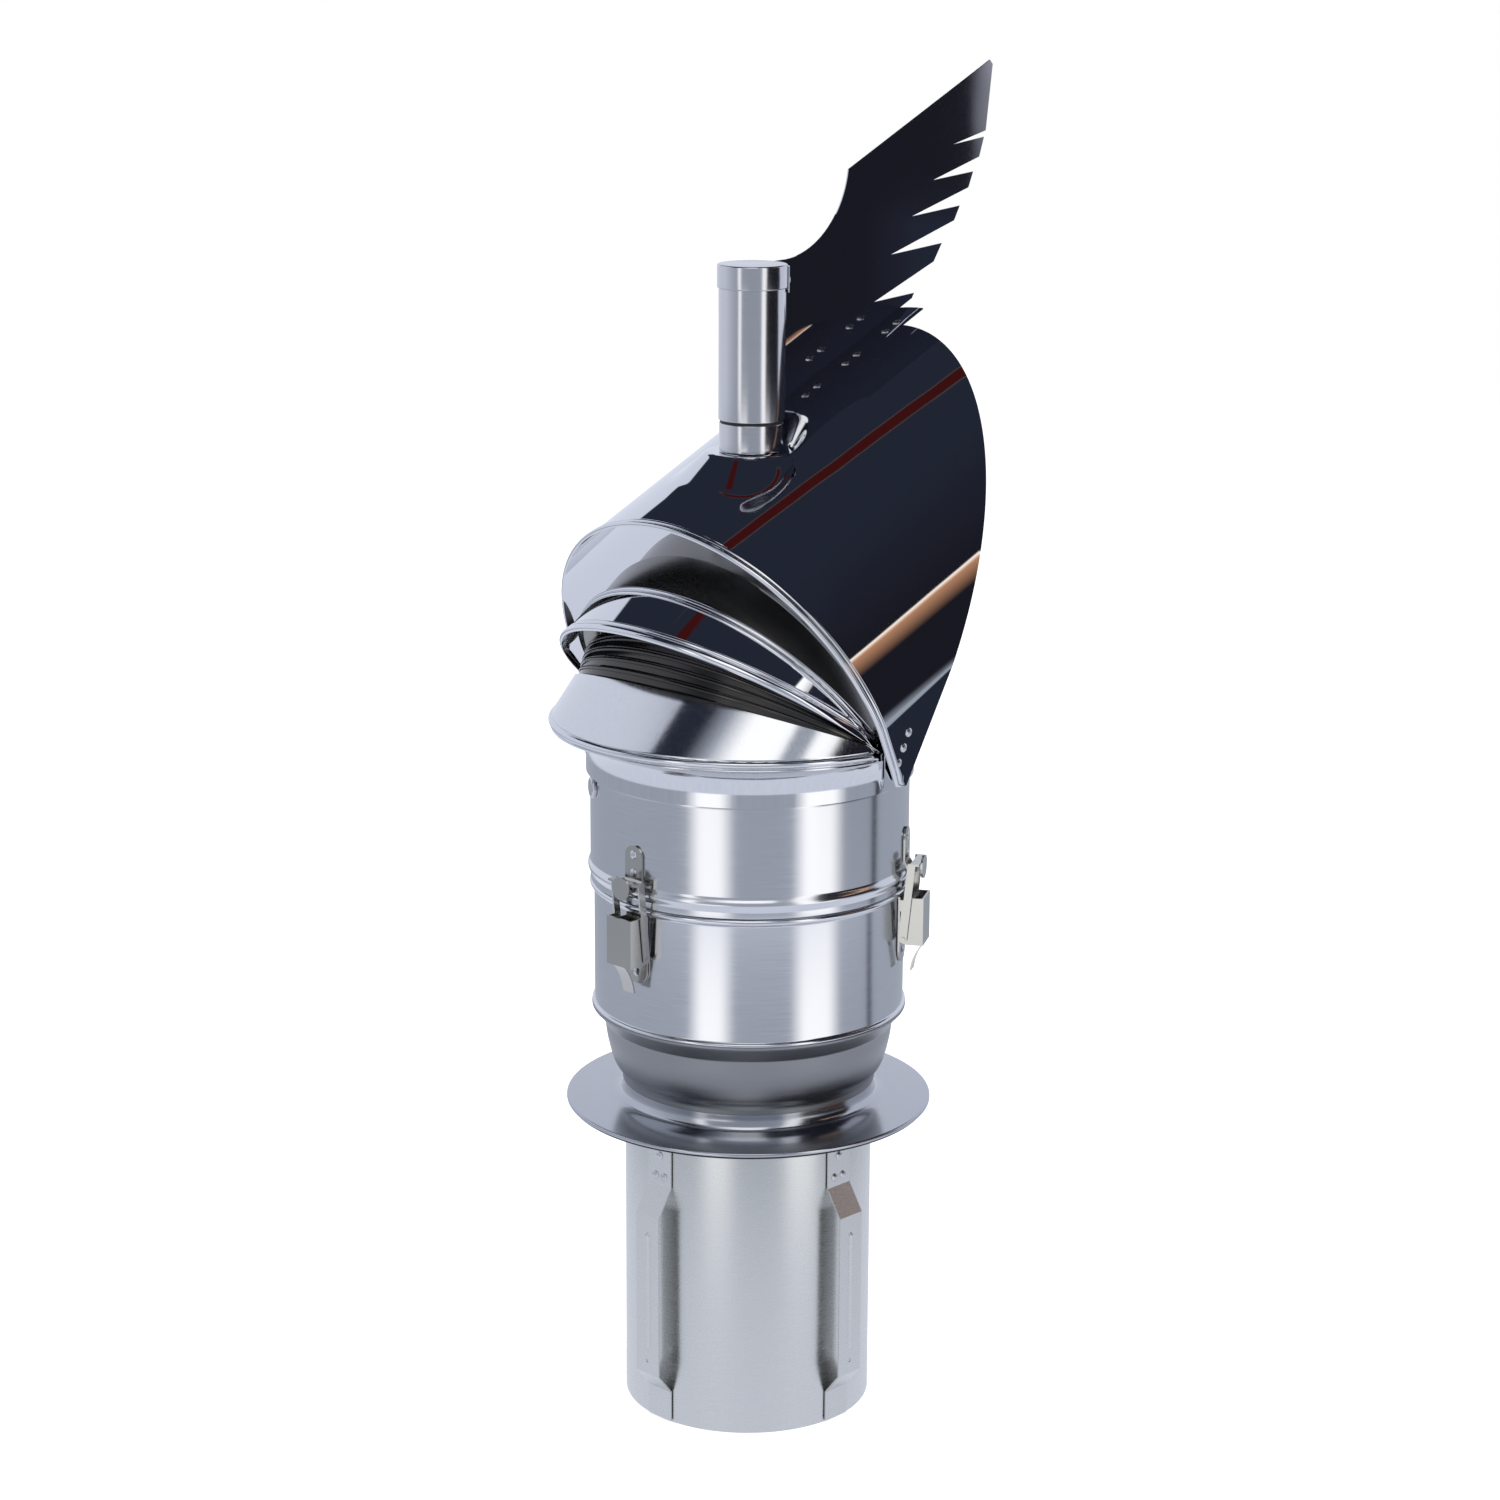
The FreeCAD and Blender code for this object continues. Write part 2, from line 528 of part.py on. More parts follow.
# Bearing bar across the upper drum, bolted through its turned-up ends
bar_half = upper_in - FIT
bar = prism([(-bar_half, BAR_Z), (bar_half, BAR_Z), (bar_half, BAR_Z + BAR_TURN_UP),
             (bar_half - BAR_T, BAR_Z + BAR_TURN_UP), (bar_half - BAR_T, BAR_Z + BAR_T),
             (BAR_T - bar_half, BAR_Z + BAR_T), (BAR_T - bar_half, BAR_Z + BAR_TURN_UP),
             (-bar_half, BAR_Z + BAR_TURN_UP)], BAR_W / 2)
bar = bar.common(rod(upper_in - FIT, 60, V(0, 0, BAR_Z - 10), V(0, 0, 1)))
bar = bar.cut(rod(AXLE_R + FIT, 40, V(0, 0, BAR_Z - 10), V(0, 0, 1)))
bolts, bar_nuts = [], []
for side in (1, -1):
    way = V(side, 0, 0)
    hole = rod(BOLT_R + FIT, 30, V(side * (bar_half - 20), 0, BOLT_Z), way)
    bar = bar.cut(hole)
    upper_drum = upper_drum.cut(turn(hole, BAR_ANGLE))
    head = rod(BOLT_HEAD_R, BOLT_HEAD_H, V(side * (UPPER_R + FIT), 0, BOLT_Z), way)
    rims = [e for e in head.Edges if abs(e.CenterOfMass.x) > UPPER_R + BOLT_HEAD_H - 0.1]
    head = head.makeFillet(BOLT_HEAD_H * 0.6, rims[:1])
    shank_start = bar_half - BAR_T - BOLT_TAIL
    shank = rod(BOLT_R, UPPER_R + FIT - shank_start, V(side * shank_start, 0, BOLT_Z), way)
    bolts.append(turn(head.fuse(shank), BAR_ANGLE))


def hex_nut(flats, height, bore):
    """A hexagon nut standing on the XY plane."""
    corner = flats / math.sqrt(3)
    points = [V(corner * math.cos(math.radians(60 * k)), corner * math.sin(math.radians(60 * k)), 0)
              for k in range(7)]
    return Part.Face(Part.makePolygon(points)).extrude(V(0, 0, height)).cut(Part.makeCylinder(bore, height))


for side in (1, -1):
    nut = hex_nut(*BOLT_NUT, BOLT_R + FIT)
    nut.rotate(V(0, 0, 0), V(0, 1, 0), -90 * side)
    nut.translate(V(side * (bar_half - BAR_T), 0, BOLT_Z))
    bar_nuts.append(turn(nut, BAR_ANGLE))
save("bearing_bar", turn(bar, BAR_ANGLE))
save("bar_bolts", *bolts)
save("bar_nuts", *bar_nuts)
save("lower_drum", lower_drum.removeSplitter())
save("upper_drum", upper_drum.removeSplitter())

# Axle with its shoulder, clamped through the bar, and the bearings at its top
bar_top = BAR_Z + BAR_T
foot_low = BAR_Z - WASHER_T - NUT_H
save("axle", turned([
    (0, foot_low - 2.0), (AXLE_R - 1, foot_low - 2.0), (AXLE_R, foot_low - 1.0),
    (AXLE_R, BEARING_Z[0] - 5), (AXLE_SHOULDER_R, BEARING_Z[0] - 4), (AXLE_SHOULDER_R, BEARING_Z[0]),
    (AXLE_R, BEARING_Z[0]), (AXLE_R, AXLE_TOP - 1), (AXLE_R - 1, AXLE_TOP), (0, AXLE_TOP)]))
save("axle_washers", tube(WASHER_R, AXLE_R + FIT, BAR_Z - WASHER_T, BAR_Z),
     tube(WASHER_R, AXLE_R + FIT, bar_top, bar_top + WASHER_T))
nuts = []
for z in (foot_low, bar_top + WASHER_T, BEARING_Z[1] + BEARING_W):
    nut = hex_nut(NUT_FLATS, NUT_H, AXLE_R + FIT)
    nut.translate(V(0, 0, z))
    nuts.append(nut)
save("axle_foot_nuts", nuts[0], nuts[1])
save("axle_top_nut", nuts[2])
race_in = AXLE_R + FIT
race_out = BEARING_OUT_R - FIT
ball_ring = (race_in + race_out) / 2
ball_r = (race_out - race_in) / 2 - RACE_T + BALL_SINK
for name, low in zip(("lower", "upper"), BEARING_Z):
    middle = low + BEARING_W / 2
    track = Part.makeTorus(ball_ring, ball_r + RUN_FIT, V(0, 0, middle), V(0, 0, 1))
    inner_race = tube(race_in + RACE_T, race_in, low, low + BEARING_W).cut(track)
    outer_race = tube(race_out, race_out - RACE_T, low, low + BEARING_W).cut(track)
    balls = [Part.makeSphere(ball_r, radial(k * 360.0 / BALL_N) * ball_ring + V(0, 0, middle))
             for k in range(BALL_N)]
    save(name + "_bearing_inner_ring", inner_race)
    save(name + "_bearing_outer_ring", outer_race)
    save(name + "_bearing_balls", *balls)
gap_low = BEARING_Z[0] + BEARING_W
save("inner_spacer", tube(race_in + 2.0, race_in, gap_low, BEARING_Z[1]))
save("outer_spacer", tube(race_out, race_out - 2.0, gap_low, BEARING_Z[1]))

# Bearing tube, cap, collar and the dark seal between tube and collar
tube_low, tube_high = TUBE_Z
save("bearing_tube", turned([
    (STEP_BORE, tube_low), (TUBE_R, tube_low), (TUBE_R, tube_high), (BEARING_OUT_R, tube_high),
    (BEARING_OUT_R, BEARING_Z[0]), (STEP_BORE, BEARING_Z[0])]))
cap_in = BEARING_OUT_R - FIT
save("tube_cap", turned([
    (0, CAP_TOP), (0, CAP_TOP - 3.0), (cap_in - 2.0, CAP_TOP - 3.0), (cap_in - 2.0, tube_high - CAP_SPIGOT),
    (cap_in, tube_high - CAP_SPIGOT), (cap_in, tube_high), (CAP_R, tube_high),
    (CAP_R, CAP_TOP - CAP_EDGE), (CAP_R - CAP_EDGE, CAP_TOP)]))
save("collar_seal", tube(TUBE_R - 1.0, STEP_BORE, tube_low - SEAL_T, tube_low))
save("hood_collar", tube(COLLAR_R, STEP_BORE, COLLAR_Z, tube_low - SEAL_T))

# Hood frame: its axis, the way across its crown and the wedge between lip and outlet
slope = math.radians(HOOD_SLOPE)
hood_way = V(math.cos(slope), 0, math.sin(slope))
hood_up = V(-math.sin(slope), 0, math.cos(slope))
hood_origin = V(0, 0, HOOD_AXIS_Z)
ACROSS = V(0, 1, 0)


def hood_point(along, side, up):
    """A point given along the hood's axis, to its side and above it."""
    return hood_origin + hood_way * along + ACROSS * side + hood_up * up


def hood_body(shrink):
    """The hood's full section drawn out: a round crown on sides that lean in towards the ears."""
    r = HOOD_R - shrink
    foot = r - HOOD_SIDE_IN
    start, length = -220.0, 700.0

    def at(side, up):
        return hood_point(start, side, up)

    section = outline([(-r, 0.0), (0.0, r, r, 0.0), (foot, -HOOD_SIDE_DROP), (foot, -HOOD_SIDE_DROP - 30),
                       (-foot, -HOOD_SIDE_DROP - 30), (-foot, -HOOD_SIDE_DROP)], at)
    return Part.Face(section).extrude(hood_way * length)


def beyond(near, far, reach):
    """The point on the line from near through far that lies reach further on."""
    way = unit(far[0] - near[0], far[1] - near[1])
    return (far[0] + way[0] * reach, far[1] + way[1] * reach)


def wedge(ear_a, top_a, ear_b, top_b):
    """The space between two planes seen from the side, from their ear points upwards."""
    return prism([ear_a, ear_b, beyond(ear_b, top_b, 250), beyond(ear_a, top_a, 250)], 200)


pad_top = COLLAR_Z
tan_down = math.tan(math.radians(PAD_DOWN))
tan_up = math.tan(math.radians(PAD_UP))


def with_pad(body, drop):
    """The body with the level pad for the collar pressed into it, raised below and sunk above."""
    level = pad_top - drop
    reach = PAD_REACH
    raised = Part.makeCone(PAD_R + reach / tan_down, PAD_R, reach, V(0, 0, level - reach))
    sunk = Part.makeCone(PAD_R, PAD_R + reach * 2 / tan_up, reach * 2, V(0, 0, level))
    return body.fuse(raised).cut(sunk)


hood_wedge = wedge(LIP_EAR, LIP_TOP, OUTLET_EAR, OUTLET_TOP)
hood_outer = hood_body(0.0)
hood_skin = with_pad(hood_outer, 0.0).cut(with_pad(hood_body(SHEET), SHEET)).common(hood_wedge)
hood_skin = hood_skin.cut(Part.makeCylinder(STEP_BORE, 60, V(0, 0, COLLAR_Z - 30)))


def rim(body, line, low, bead):
    """A round bead along the edge that a plane cuts in a body, above a height."""
    ear, top = line
    near, far = beyond(top, ear, 60), beyond(ear, top, 300)
    plane = Part.Face(Part.makePolygon([
        V(near[0], -200, near[1]), V(far[0], -200, far[1]), V(far[0], 200, far[1]),
        V(near[0], 200, near[1]), V(near[0], -200, near[1])]))
    keep = Part.makeBox(900, 900, 900, V(-450, -450, low))
    edges = body.common(plane).Faces[0].OuterWire.common(keep).Edges
    path = Part.Wire(Part.__sortEdges__(edges))
    first = path.OrderedEdges[0]
    ring = Part.makeCircle(bead, path.OrderedVertexes[0].Point, first.tangentAt(first.FirstParameter))
    return path.makePipeShell([Part.Wire(ring)], True, True)


def shifted(pair, way, step):
    """A pair of points moved along a direction in the XZ plane."""
    return tuple((p[0] + way[0] * step, p[1] + way[1] * step) for p in pair)


hood_axis = (hood_way.x, hood_way.z)
lip_line = (LIP_EAR, LIP_TOP)
hood_beads = [rim(hood_outer, shifted(lip_line, hood_axis, LIP_IN), HOOD_BEAD_LOW[0], LIP_BEAD_R),
              rim(hood_outer, shifted(lip_line, hood_axis, BEAD_STEP), HOOD_BEAD_LOW[1], GROOVE_BEAD_R)]
hood = hood_skin.fuse([bead.cut(hood_body(SHEET)).common(hood_wedge) for bead in hood_beads])

# Middle segment: a slice of a tube between two planes through its ears
mid_slope = math.radians(MIDDLE_SLOPE)
mid_way = V(math.cos(mid_slope), 0, math.sin(mid_slope))
mid_start = V(MIDDLE_EAR[0], 0, MIDDLE_EAR[1]) - mid_way * 150
mid_lines = []
for tilt in MIDDLE_TILT:
    lean = math.radians(tilt)
    mid_top = (MIDDLE_EAR[0] - 100 * math.cos(lean), MIDDLE_EAR[1] + 100 * math.sin(lean))
    mid_lines.append((MIDDLE_EAR, mid_top))
mid_wedge = prism([MIDDLE_EAR, beyond(*mid_lines[0], 120), beyond(*mid_lines[1], 120)], 200)
mid_outer = rod(MIDDLE_R, 300, mid_start, mid_way)
mid_bore = rod(MIDDLE_R - SHEET, 300, mid_start, mid_way)
mid_skin = mid_outer.cut(mid_bore).common(mid_wedge)
mid_axis = (mid_way.x, mid_way.z)
mid_beads = []
for line, inset, up, bead in zip(
        (mid_lines[0], mid_lines[0], mid_lines[1], mid_lines[1]), (LIP_IN, BEAD_STEP, -LIP_IN, -BEAD_STEP),
        MIDDLE_BEAD_UP, (LIP_BEAD_R, GROOVE_BEAD_R, GROOVE_BEAD_R, GROOVE_BEAD_R)):
    edge_bead = rim(mid_outer, shifted(line, mid_axis, inset), MIDDLE_EAR[1] + up, bead)
    mid_beads.append(edge_bead.cut(mid_bore))


tab_low, tab_high = EAR_TAB_X
tab_foot, tab_top = EAR_TAB_Z
tab_shape = [(tab_low, tab_foot + 8), (tab_low + 6, tab_foot), (tab_high - 5, tab_foot),
             (tab_high, tab_foot + 12), (tab_high, tab_top - 5), (tab_high - 4, tab_top),
             (tab_low + 6, tab_top), (tab_low, tab_top - 5)]
ear_lean = math.atan(HOOD_SIDE_IN / HOOD_SIDE_DROP)
ear_places = []
for side in (1, -1):
    for x, z in EAR_RIVETS:
        depth = math.cos(slope) * (HOOD_AXIS_Z - z) + math.sin(slope) * x
        face = HOOD_R - math.tan(ear_lean) * depth + FIT
        outward = ACROSS * side * math.cos(ear_lean) - hood_up * math.sin(ear_lean)
        ear_places.append((V(x, side * face, z), outward))


def drill_ears(shape):
    """Holes for the ear rivets, square to the sides of the hood."""
    for place, way in ear_places:
        shape = shape.cut(rod(RIVET_R + FIT, 24, place - way * 12, way))
    return shape


mid_tabs = [prism(tab_shape, SHEET / 2, side * (MIDDLE_R - SHEET / 2)) for side in (1, -1)]
middle = drill_ears(mid_skin.fuse(mid_beads + mid_tabs))
save("middle_segment", middle.removeSplitter())

# Lower segment: skirt ring, spun flare, lip bead and the slice that leans in above it
skirt_in = SKIRT_R - SHEET
flare_low, flare_high = SKIRT_Z[1], LOWER_LIP_Z - 4.0
lean_in = math.tan(math.radians(LOWER_SEG_LEAN))
seg_fall = math.tan(math.radians(LOWER_SEG_TILT))
top_z = LOWER_SEG_EAR[1] + (LOWER_SEG_R + LOWER_SEG_EAR[0]) * seg_fall + 2.0
wall_z = LOWER_LIP_Z + 3.0
flare_out = (LOWER_SEG_R - SKIRT_R) * FLARE_SHARE
flare_down = (flare_high - flare_low) * FLARE_SHARE
full = turned([
    (skirt_in, SKIRT_Z[0]), (SKIRT_R, SKIRT_Z[0]), (SKIRT_R, flare_low),
    (SKIRT_R + flare_out, flare_high - flare_down, LOWER_SEG_R, flare_high), (LOWER_SEG_R, wall_z),
    (LOWER_SEG_R - (top_z - wall_z) * lean_in, top_z),
    (LOWER_SEG_R - SHEET - (top_z - wall_z) * lean_in, top_z), (LOWER_SEG_R - SHEET, wall_z),
    (LOWER_SEG_R - SHEET, flare_high + SKIN_STEP),
    (skirt_in + flare_out, flare_high + SKIN_STEP - flare_down, skirt_in, flare_low + SKIN_STEP)])
lip_ring = Part.makeTorus(LOWER_SEG_R + LOWER_BEAD_OUT, LIP_BEAD_R, V(0, 0, LOWER_LIP_Z), V(0, 0, 1))
second_z = LOWER_LIP_Z - BEAD_STEP * 0.8
second_ring = Part.makeTorus(LOWER_SEG_R - 0.2, GROOVE_BEAD_R, V(0, 0, second_z), V(0, 0, 1))
reach_low, reach_high = SKIRT_Z[0] - 16.0, top_z + 10.0
ring_reach = prism([(-200, reach_low), (BEAD_END_X, reach_low), (BEAD_END_X, reach_high),
                    (-200, reach_high)], 200)
bore_clear = rod(LOWER_SEG_R - SHEET, 60, V(0, 0, LOWER_LIP_Z - 30), V(0, 0, 1))
rings = [ring.common(ring_reach).cut(bore_clear) for ring in (lip_ring, second_ring)]
lee_top = (LOWER_SEG_EAR[0] - 220.0, LOWER_SEG_EAR[1] + 220.0 * seg_fall)
windward = prism([(-200, reach_low), (LOWER_SEG_EAR[0], reach_low), LOWER_SEG_EAR, lee_top], 200)
ear_block = Part.makeBox(tab_high - tab_low, 400, wall_z - flare_low + 1, V(tab_low, -200, flare_low - 1))
skirt_only = rod(200, flare_low - reach_low, V(0, 0, reach_low), V(0, 0, 1))
low_tabs = tube(LOWER_SEG_R, LOWER_SEG_R - SHEET, tab_foot, tab_top).common(prism(tab_shape, 200))
pieces = [full.common(block) for block in (windward, ear_block, skirt_only)]
lower_seg = drill_ears(pieces[0].fuse(pieces[1:] + rings + [low_tabs]))
save("lower_segment", lower_seg.removeSplitter())

# Ears of the hood and the rivets that hold the three segments together
hood = drill_ears(hood)
ear_shank = HOOD_R - LOWER_SEG_R - 0.5
save("ear_rivets", *[rivet(ear_shank, place, way) for place, way in ear_places])


# Fin: feathered plate beside the tube, folded foot along the crown and a strap round the cap
fin_y = CAP_R + FIN_SIDE
foot_up = HOOD_R + FIT


def crown_x_to_z(x, up):
    """Height of the line that runs above the hood's axis at a distance, at a place x."""
    return HOOD_AXIS_Z + up / math.cos(slope) + x * math.tan(slope)


def above_collar(*points):
    """Points (x, height above the collar's foot) as one step of the fin's outline."""
    return tuple(value for x, height in points for value in (x, COLLAR_Z + height))


fin_steps = [(0.0, crown_x_to_z(FIN_FOOT[0], foot_up)), (0.0, TAB_STRAP_Z[1]), above_collar(FIN_TOP_FRONT),
             above_collar(FIN_FRONT_END), above_collar(FIN_FRONT_MID, FIN_FRONT), above_collar(FIN_TIP),
             above_collar(FIN_CORNER)]
for feather in FIN_FEATHERS:
    fin_steps += [above_collar(point) for point in feather]
fin_steps += [(x, crown_x_to_z(x, HOOD_R - 6)) for x in FIN_FOOT[::-1]]
web = prism(fin_steps, SHEET / 2, fin_y + SHEET / 2)
foot_len = (FIN_FOOT[1] - FIN_FOOT[0] - 4) / math.cos(slope)
foot_start = (FIN_FOOT[0] + 2) / math.cos(slope) + foot_up * math.tan(slope)
foot_corner = hood_point(foot_start, fin_y + SHEET - FIN_FOOT_W, 0)
foot_block = Part.Face(Part.makePolygon([
    foot_corner, foot_corner + hood_way * foot_len, foot_corner + hood_way * foot_len + ACROSS * FIN_FOOT_W,
    foot_corner + ACROSS * FIN_FOOT_W, foot_corner])).extrude(hood_up * 2 * HOOD_R)
under_foot = rod(foot_up, 700, hood_point(-200, 0, 0), hood_way)
foot = rod(foot_up + SHEET, 700, hood_point(-200, 0, 0), hood_way).common(foot_block)
strap_low, strap_high = TAB_STRAP_Z
strap = tube(fin_y + SHEET, fin_y, strap_low, strap_high)
sweep_from, sweep_to = math.radians(TAB_STRAP_END), math.radians(90)
sector = Part.Face(Part.makePolygon(
    [V(0, 0, strap_low - 1)]
    + [V(60 * math.cos(sweep_from + (sweep_to - sweep_from) * k / 6),
         60 * math.sin(sweep_from + (sweep_to - sweep_from) * k / 6), strap_low - 1) for k in range(7)]
    + [V(0, 0, strap_low - 1)])).extrude(V(0, 0, 40))
fin = web.fuse([foot, strap.common(sector)]).cut(under_foot)
fin_rivets = []
rivet_lean = math.asin(FIN_RIVET_Y / foot_up)
rivet_way = ACROSS * math.sin(rivet_lean) + hood_up * math.cos(rivet_lean)
for pair in FIN_RIVET_PAIRS:
    for step in (0.0, FIN_RIVET_STEP):
        middle_line = hood_point(foot_start + pair + step, 0, 0)
        hole = rod(RIVET_R + FIT, 14, middle_line + rivet_way * (foot_up - 8), rivet_way)
        fin = fin.cut(hole)
        hood = hood.cut(hole)
        fin_rivets.append(rivet(SHEET * 1.6, middle_line + rivet_way * (foot_up + SHEET + FIT), rivet_way))
cap_way = radial(CAP_RIVET_ANGLE)
cap_rivet_start = cap_way * (fin_y + SHEET + FIT) + V(0, 0, CAP_RIVET_Z)
fin = fin.cut(rod(RIVET_R + FIT, 6, cap_way * (CAP_R - 1) + V(0, 0, CAP_RIVET_Z), cap_way))
save("fin", fin.removeSplitter())
save("hood", hood.removeSplitter())
save("fin_rivets", *fin_rivets)
save("cap_rivet", rivet(SHEET + FIN_SIDE - 0.05, cap_rivet_start, cap_way))
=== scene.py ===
"""Looks of the rotating chimney cowl: sheet-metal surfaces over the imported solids, and a plain stage.

Metres. The frame is the solids' own: origin on the turning axis at the spigot's open end, +Z up, +X downwind.
"""

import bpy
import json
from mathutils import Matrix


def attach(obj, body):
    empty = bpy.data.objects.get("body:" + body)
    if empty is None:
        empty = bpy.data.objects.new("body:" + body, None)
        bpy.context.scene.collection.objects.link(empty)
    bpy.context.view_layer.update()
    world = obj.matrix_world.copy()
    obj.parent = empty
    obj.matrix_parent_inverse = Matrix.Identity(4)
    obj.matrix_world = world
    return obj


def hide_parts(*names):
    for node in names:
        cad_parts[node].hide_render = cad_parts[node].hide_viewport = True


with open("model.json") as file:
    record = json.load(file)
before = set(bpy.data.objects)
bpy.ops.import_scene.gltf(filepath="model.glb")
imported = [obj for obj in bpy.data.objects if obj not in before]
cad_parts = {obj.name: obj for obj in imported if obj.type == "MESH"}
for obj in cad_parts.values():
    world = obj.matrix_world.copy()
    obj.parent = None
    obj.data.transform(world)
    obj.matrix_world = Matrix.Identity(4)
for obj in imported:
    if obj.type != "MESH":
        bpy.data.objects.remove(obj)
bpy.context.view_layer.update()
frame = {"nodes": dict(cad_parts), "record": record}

import json
import math

import bmesh
import bpy
import numpy as np
from bpy.props import FloatProperty, FloatVectorProperty, PointerProperty
from mathutils import Matrix, Vector

bl_info = {
    "name": "Rotating chimney cowl",
    "version": (1, 0, 0),
    "blender": (4, 5, 0),
    "location": "View3D > Sidebar > Cowl",
    "description": "Builds the sheet-metal surfaces and the stage of a rotating chimney cowl",
    "category": "Object",
}

MM = 0.001
NODES = frame["nodes"]
VIEW_AZIMUTH = -45.9
SPIN_STEPS = 256

# The hood's tube: slope and lean in radians, and the height in mm at which its axis leaves the turning axis
HOOD_SLOPE = math.radians(24.5)
HOOD_AXIS_Z = 452.8
HOOD_LEAN = math.atan(3.8 / 45.0)
# Radius in mm of the hole through hood, collar and bearing tube
BORE = 15.5

# The reflection tent's few plain colours
WHITE = "#ffffff"
PALE = "#c0c4d0"
GREY = "#9096a0"
STEEL = "#484848"
SLATE = "#202430"
BLACK = "#181820"
COPPER = "#b08060"
CREAM = "#fff0e0"
RED = "#381010"


def linear(code):
    """An sRGB hex code as linear red, green and blue: a straight line low down, a 2.4 power above."""
    parts = np.array([int(code[i:i + 2], 16) / 255.0 for i in (1, 3, 5)])
    return tuple(np.where(parts <= 0.04045, parts / 12.92, ((parts + 0.055) / 1.055) ** 2.4).tolist())


def length(name, about, value):
    """A size in metres for the panel, given in millimetres."""
    return FloatProperty(name=name, description=about, default=value * MM, min=0.0, unit="LENGTH",
                         precision=5)


def tint(name, about, code):
    """A colour for the panel, given as a hex code."""
    return FloatVectorProperty(name=name, description=about, default=linear(code), size=3, min=0.0, max=1.0,
                               subtype="COLOR")


class CowlSizes(bpy.types.PropertyGroup):
    """Sizes of the sheet-metal surfaces, the same as those of the solids."""
    sheet: length("Sheet", "Thickness of the sheet metal", 0.8)
    spigot: length("Spigot radius", "Outside of the flue spigot", 75.0)
    spigot_top: length("Spigot top", "Height of the spigot's upper end", 204.0)
    disc: length("Disc radius", "Outside of the cover disc", 110.7)
    disc_height: length("Disc height", "Under side of the cover disc", 192.5)
    lower_drum: length("Lower drum radius", "Outside of the lower drum", 93.2)
    upper_drum: length("Upper drum radius", "Outside of the upper drum", 95.4)
    seam: length("Seam height", "Lower edge of the upper drum", 330.0)
    drum_top: length("Drum top", "Height of the upper drum's curled edge", 399.0)
    tube: length("Bearing tube radius", "Outside of the bearing tube", 19.5)
    collar: length("Collar radius", "Outside of the collar on the hood", 19.0)
    cap: length("Cap radius", "Outside of the tube's cap", 20.4)
    hood: length("Hood radius", "Outside of the hood's round crown", 123.5)
    middle: length("Middle visor radius", "Outside of the middle segment", 118.8)
    lower_visor: length("Lower visor radius", "Outside of the lower segment's wall", 117.6)
    skirt: length("Skirt radius", "Outside of the lower segment's skirt", 97.8)
    bead: length("Lip bead", "Radius of the rolled lips", 2.0)
    rivet: length("Rivet head", "Radius of the rivet heads", 2.6)


class CowlColours(bpy.types.PropertyGroup):
    """Colours of the finishes and of the stage."""
    polished: tint("Polished sheet", "Mirror polished stainless sheet", "#d9dade")
    brushed: tint("Brushed sheet", "Spun and brushed stainless sheet", "#dcdde1")
    satin: tint("Satin tube", "Rolled stainless tube", "#d9dad8")
    spun: tint("Spun disc", "Bright spun sheet of the cover disc", "#bcbec4")
    turned: tint("Turned steel", "Lathe-turned steel", "#d0d0d4")
    pressed: tint("Pressed steel", "Bright pressed latch steel", "#c2c1bc")
    # Mill finish, greyed further as painted shade of the hood over the sleeve
    mill: tint("Mill finish", "Sheet inside the visor, as rolled", "#93928f")
    # Painted shade: the ridged sleeve deep in the visor is coloured near black for the shade of the lips
    shaded: tint("Sheet with painted shade", "Ridged sheet deep in the visor", "#4d4b49")
    dull: tint("Drawn bowl", "Deep-drawn sheet of the reducer", "#95979a")
    rubber: tint("Seal", "Moulded rubber seal", "#17181b")
    floor: tint("Floor", "Pale studio floor", "#f4f4f5")


# Working out surfaces

def rounded(corners, radii, steps=6):
    """A closed outline whose corners are cut by parabolas.

    Each corner C becomes (1-t)^2 A + 2t(1-t) C + t^2 B for t from 0 to 1, where A and B lie on the two sides
    at the corner's radius from it.
    """
    corner = np.asarray(corners, float)
    back = np.roll(corner, 1, 0) - corner
    ahead = np.roll(corner, -1, 0) - corner
    reach = np.broadcast_to(np.asarray(radii, float), (len(corner),))[:, None]
    back_len = np.linalg.norm(back, axis=1, keepdims=True)
    ahead_len = np.linalg.norm(ahead, axis=1, keepdims=True)
    start = corner + back / back_len * np.minimum(reach, back_len * 0.499)
    end = corner + ahead / ahead_len * np.minimum(reach, ahead_len * 0.499)
    t = np.linspace(0.0, 1.0, steps)[None, :, None]
    curve = (1 - t) ** 2 * start[:, None] + 2 * t * (1 - t) * corner[:, None] + t ** 2 * end[:, None]
    return curve.reshape(-1, 2)


def grid_faces(rows, columns, wrap_rows, wrap_columns):
    """Quads of a grid of rows by columns of points, as four index arrays side by side."""
    row = np.arange(rows if wrap_rows else rows - 1)
    column = np.arange(columns if wrap_columns else columns - 1)
    a = row[:, None] * columns + column[None, :]
    b = row[:, None] * columns + (column[None, :] + 1) % columns
    c = ((row[:, None] + 1) % rows) * columns + (column[None, :] + 1) % columns
    d = ((row[:, None] + 1) % rows) * columns + column[None, :]
    return np.stack([a, b, c, d], -1).reshape(-1, 4)


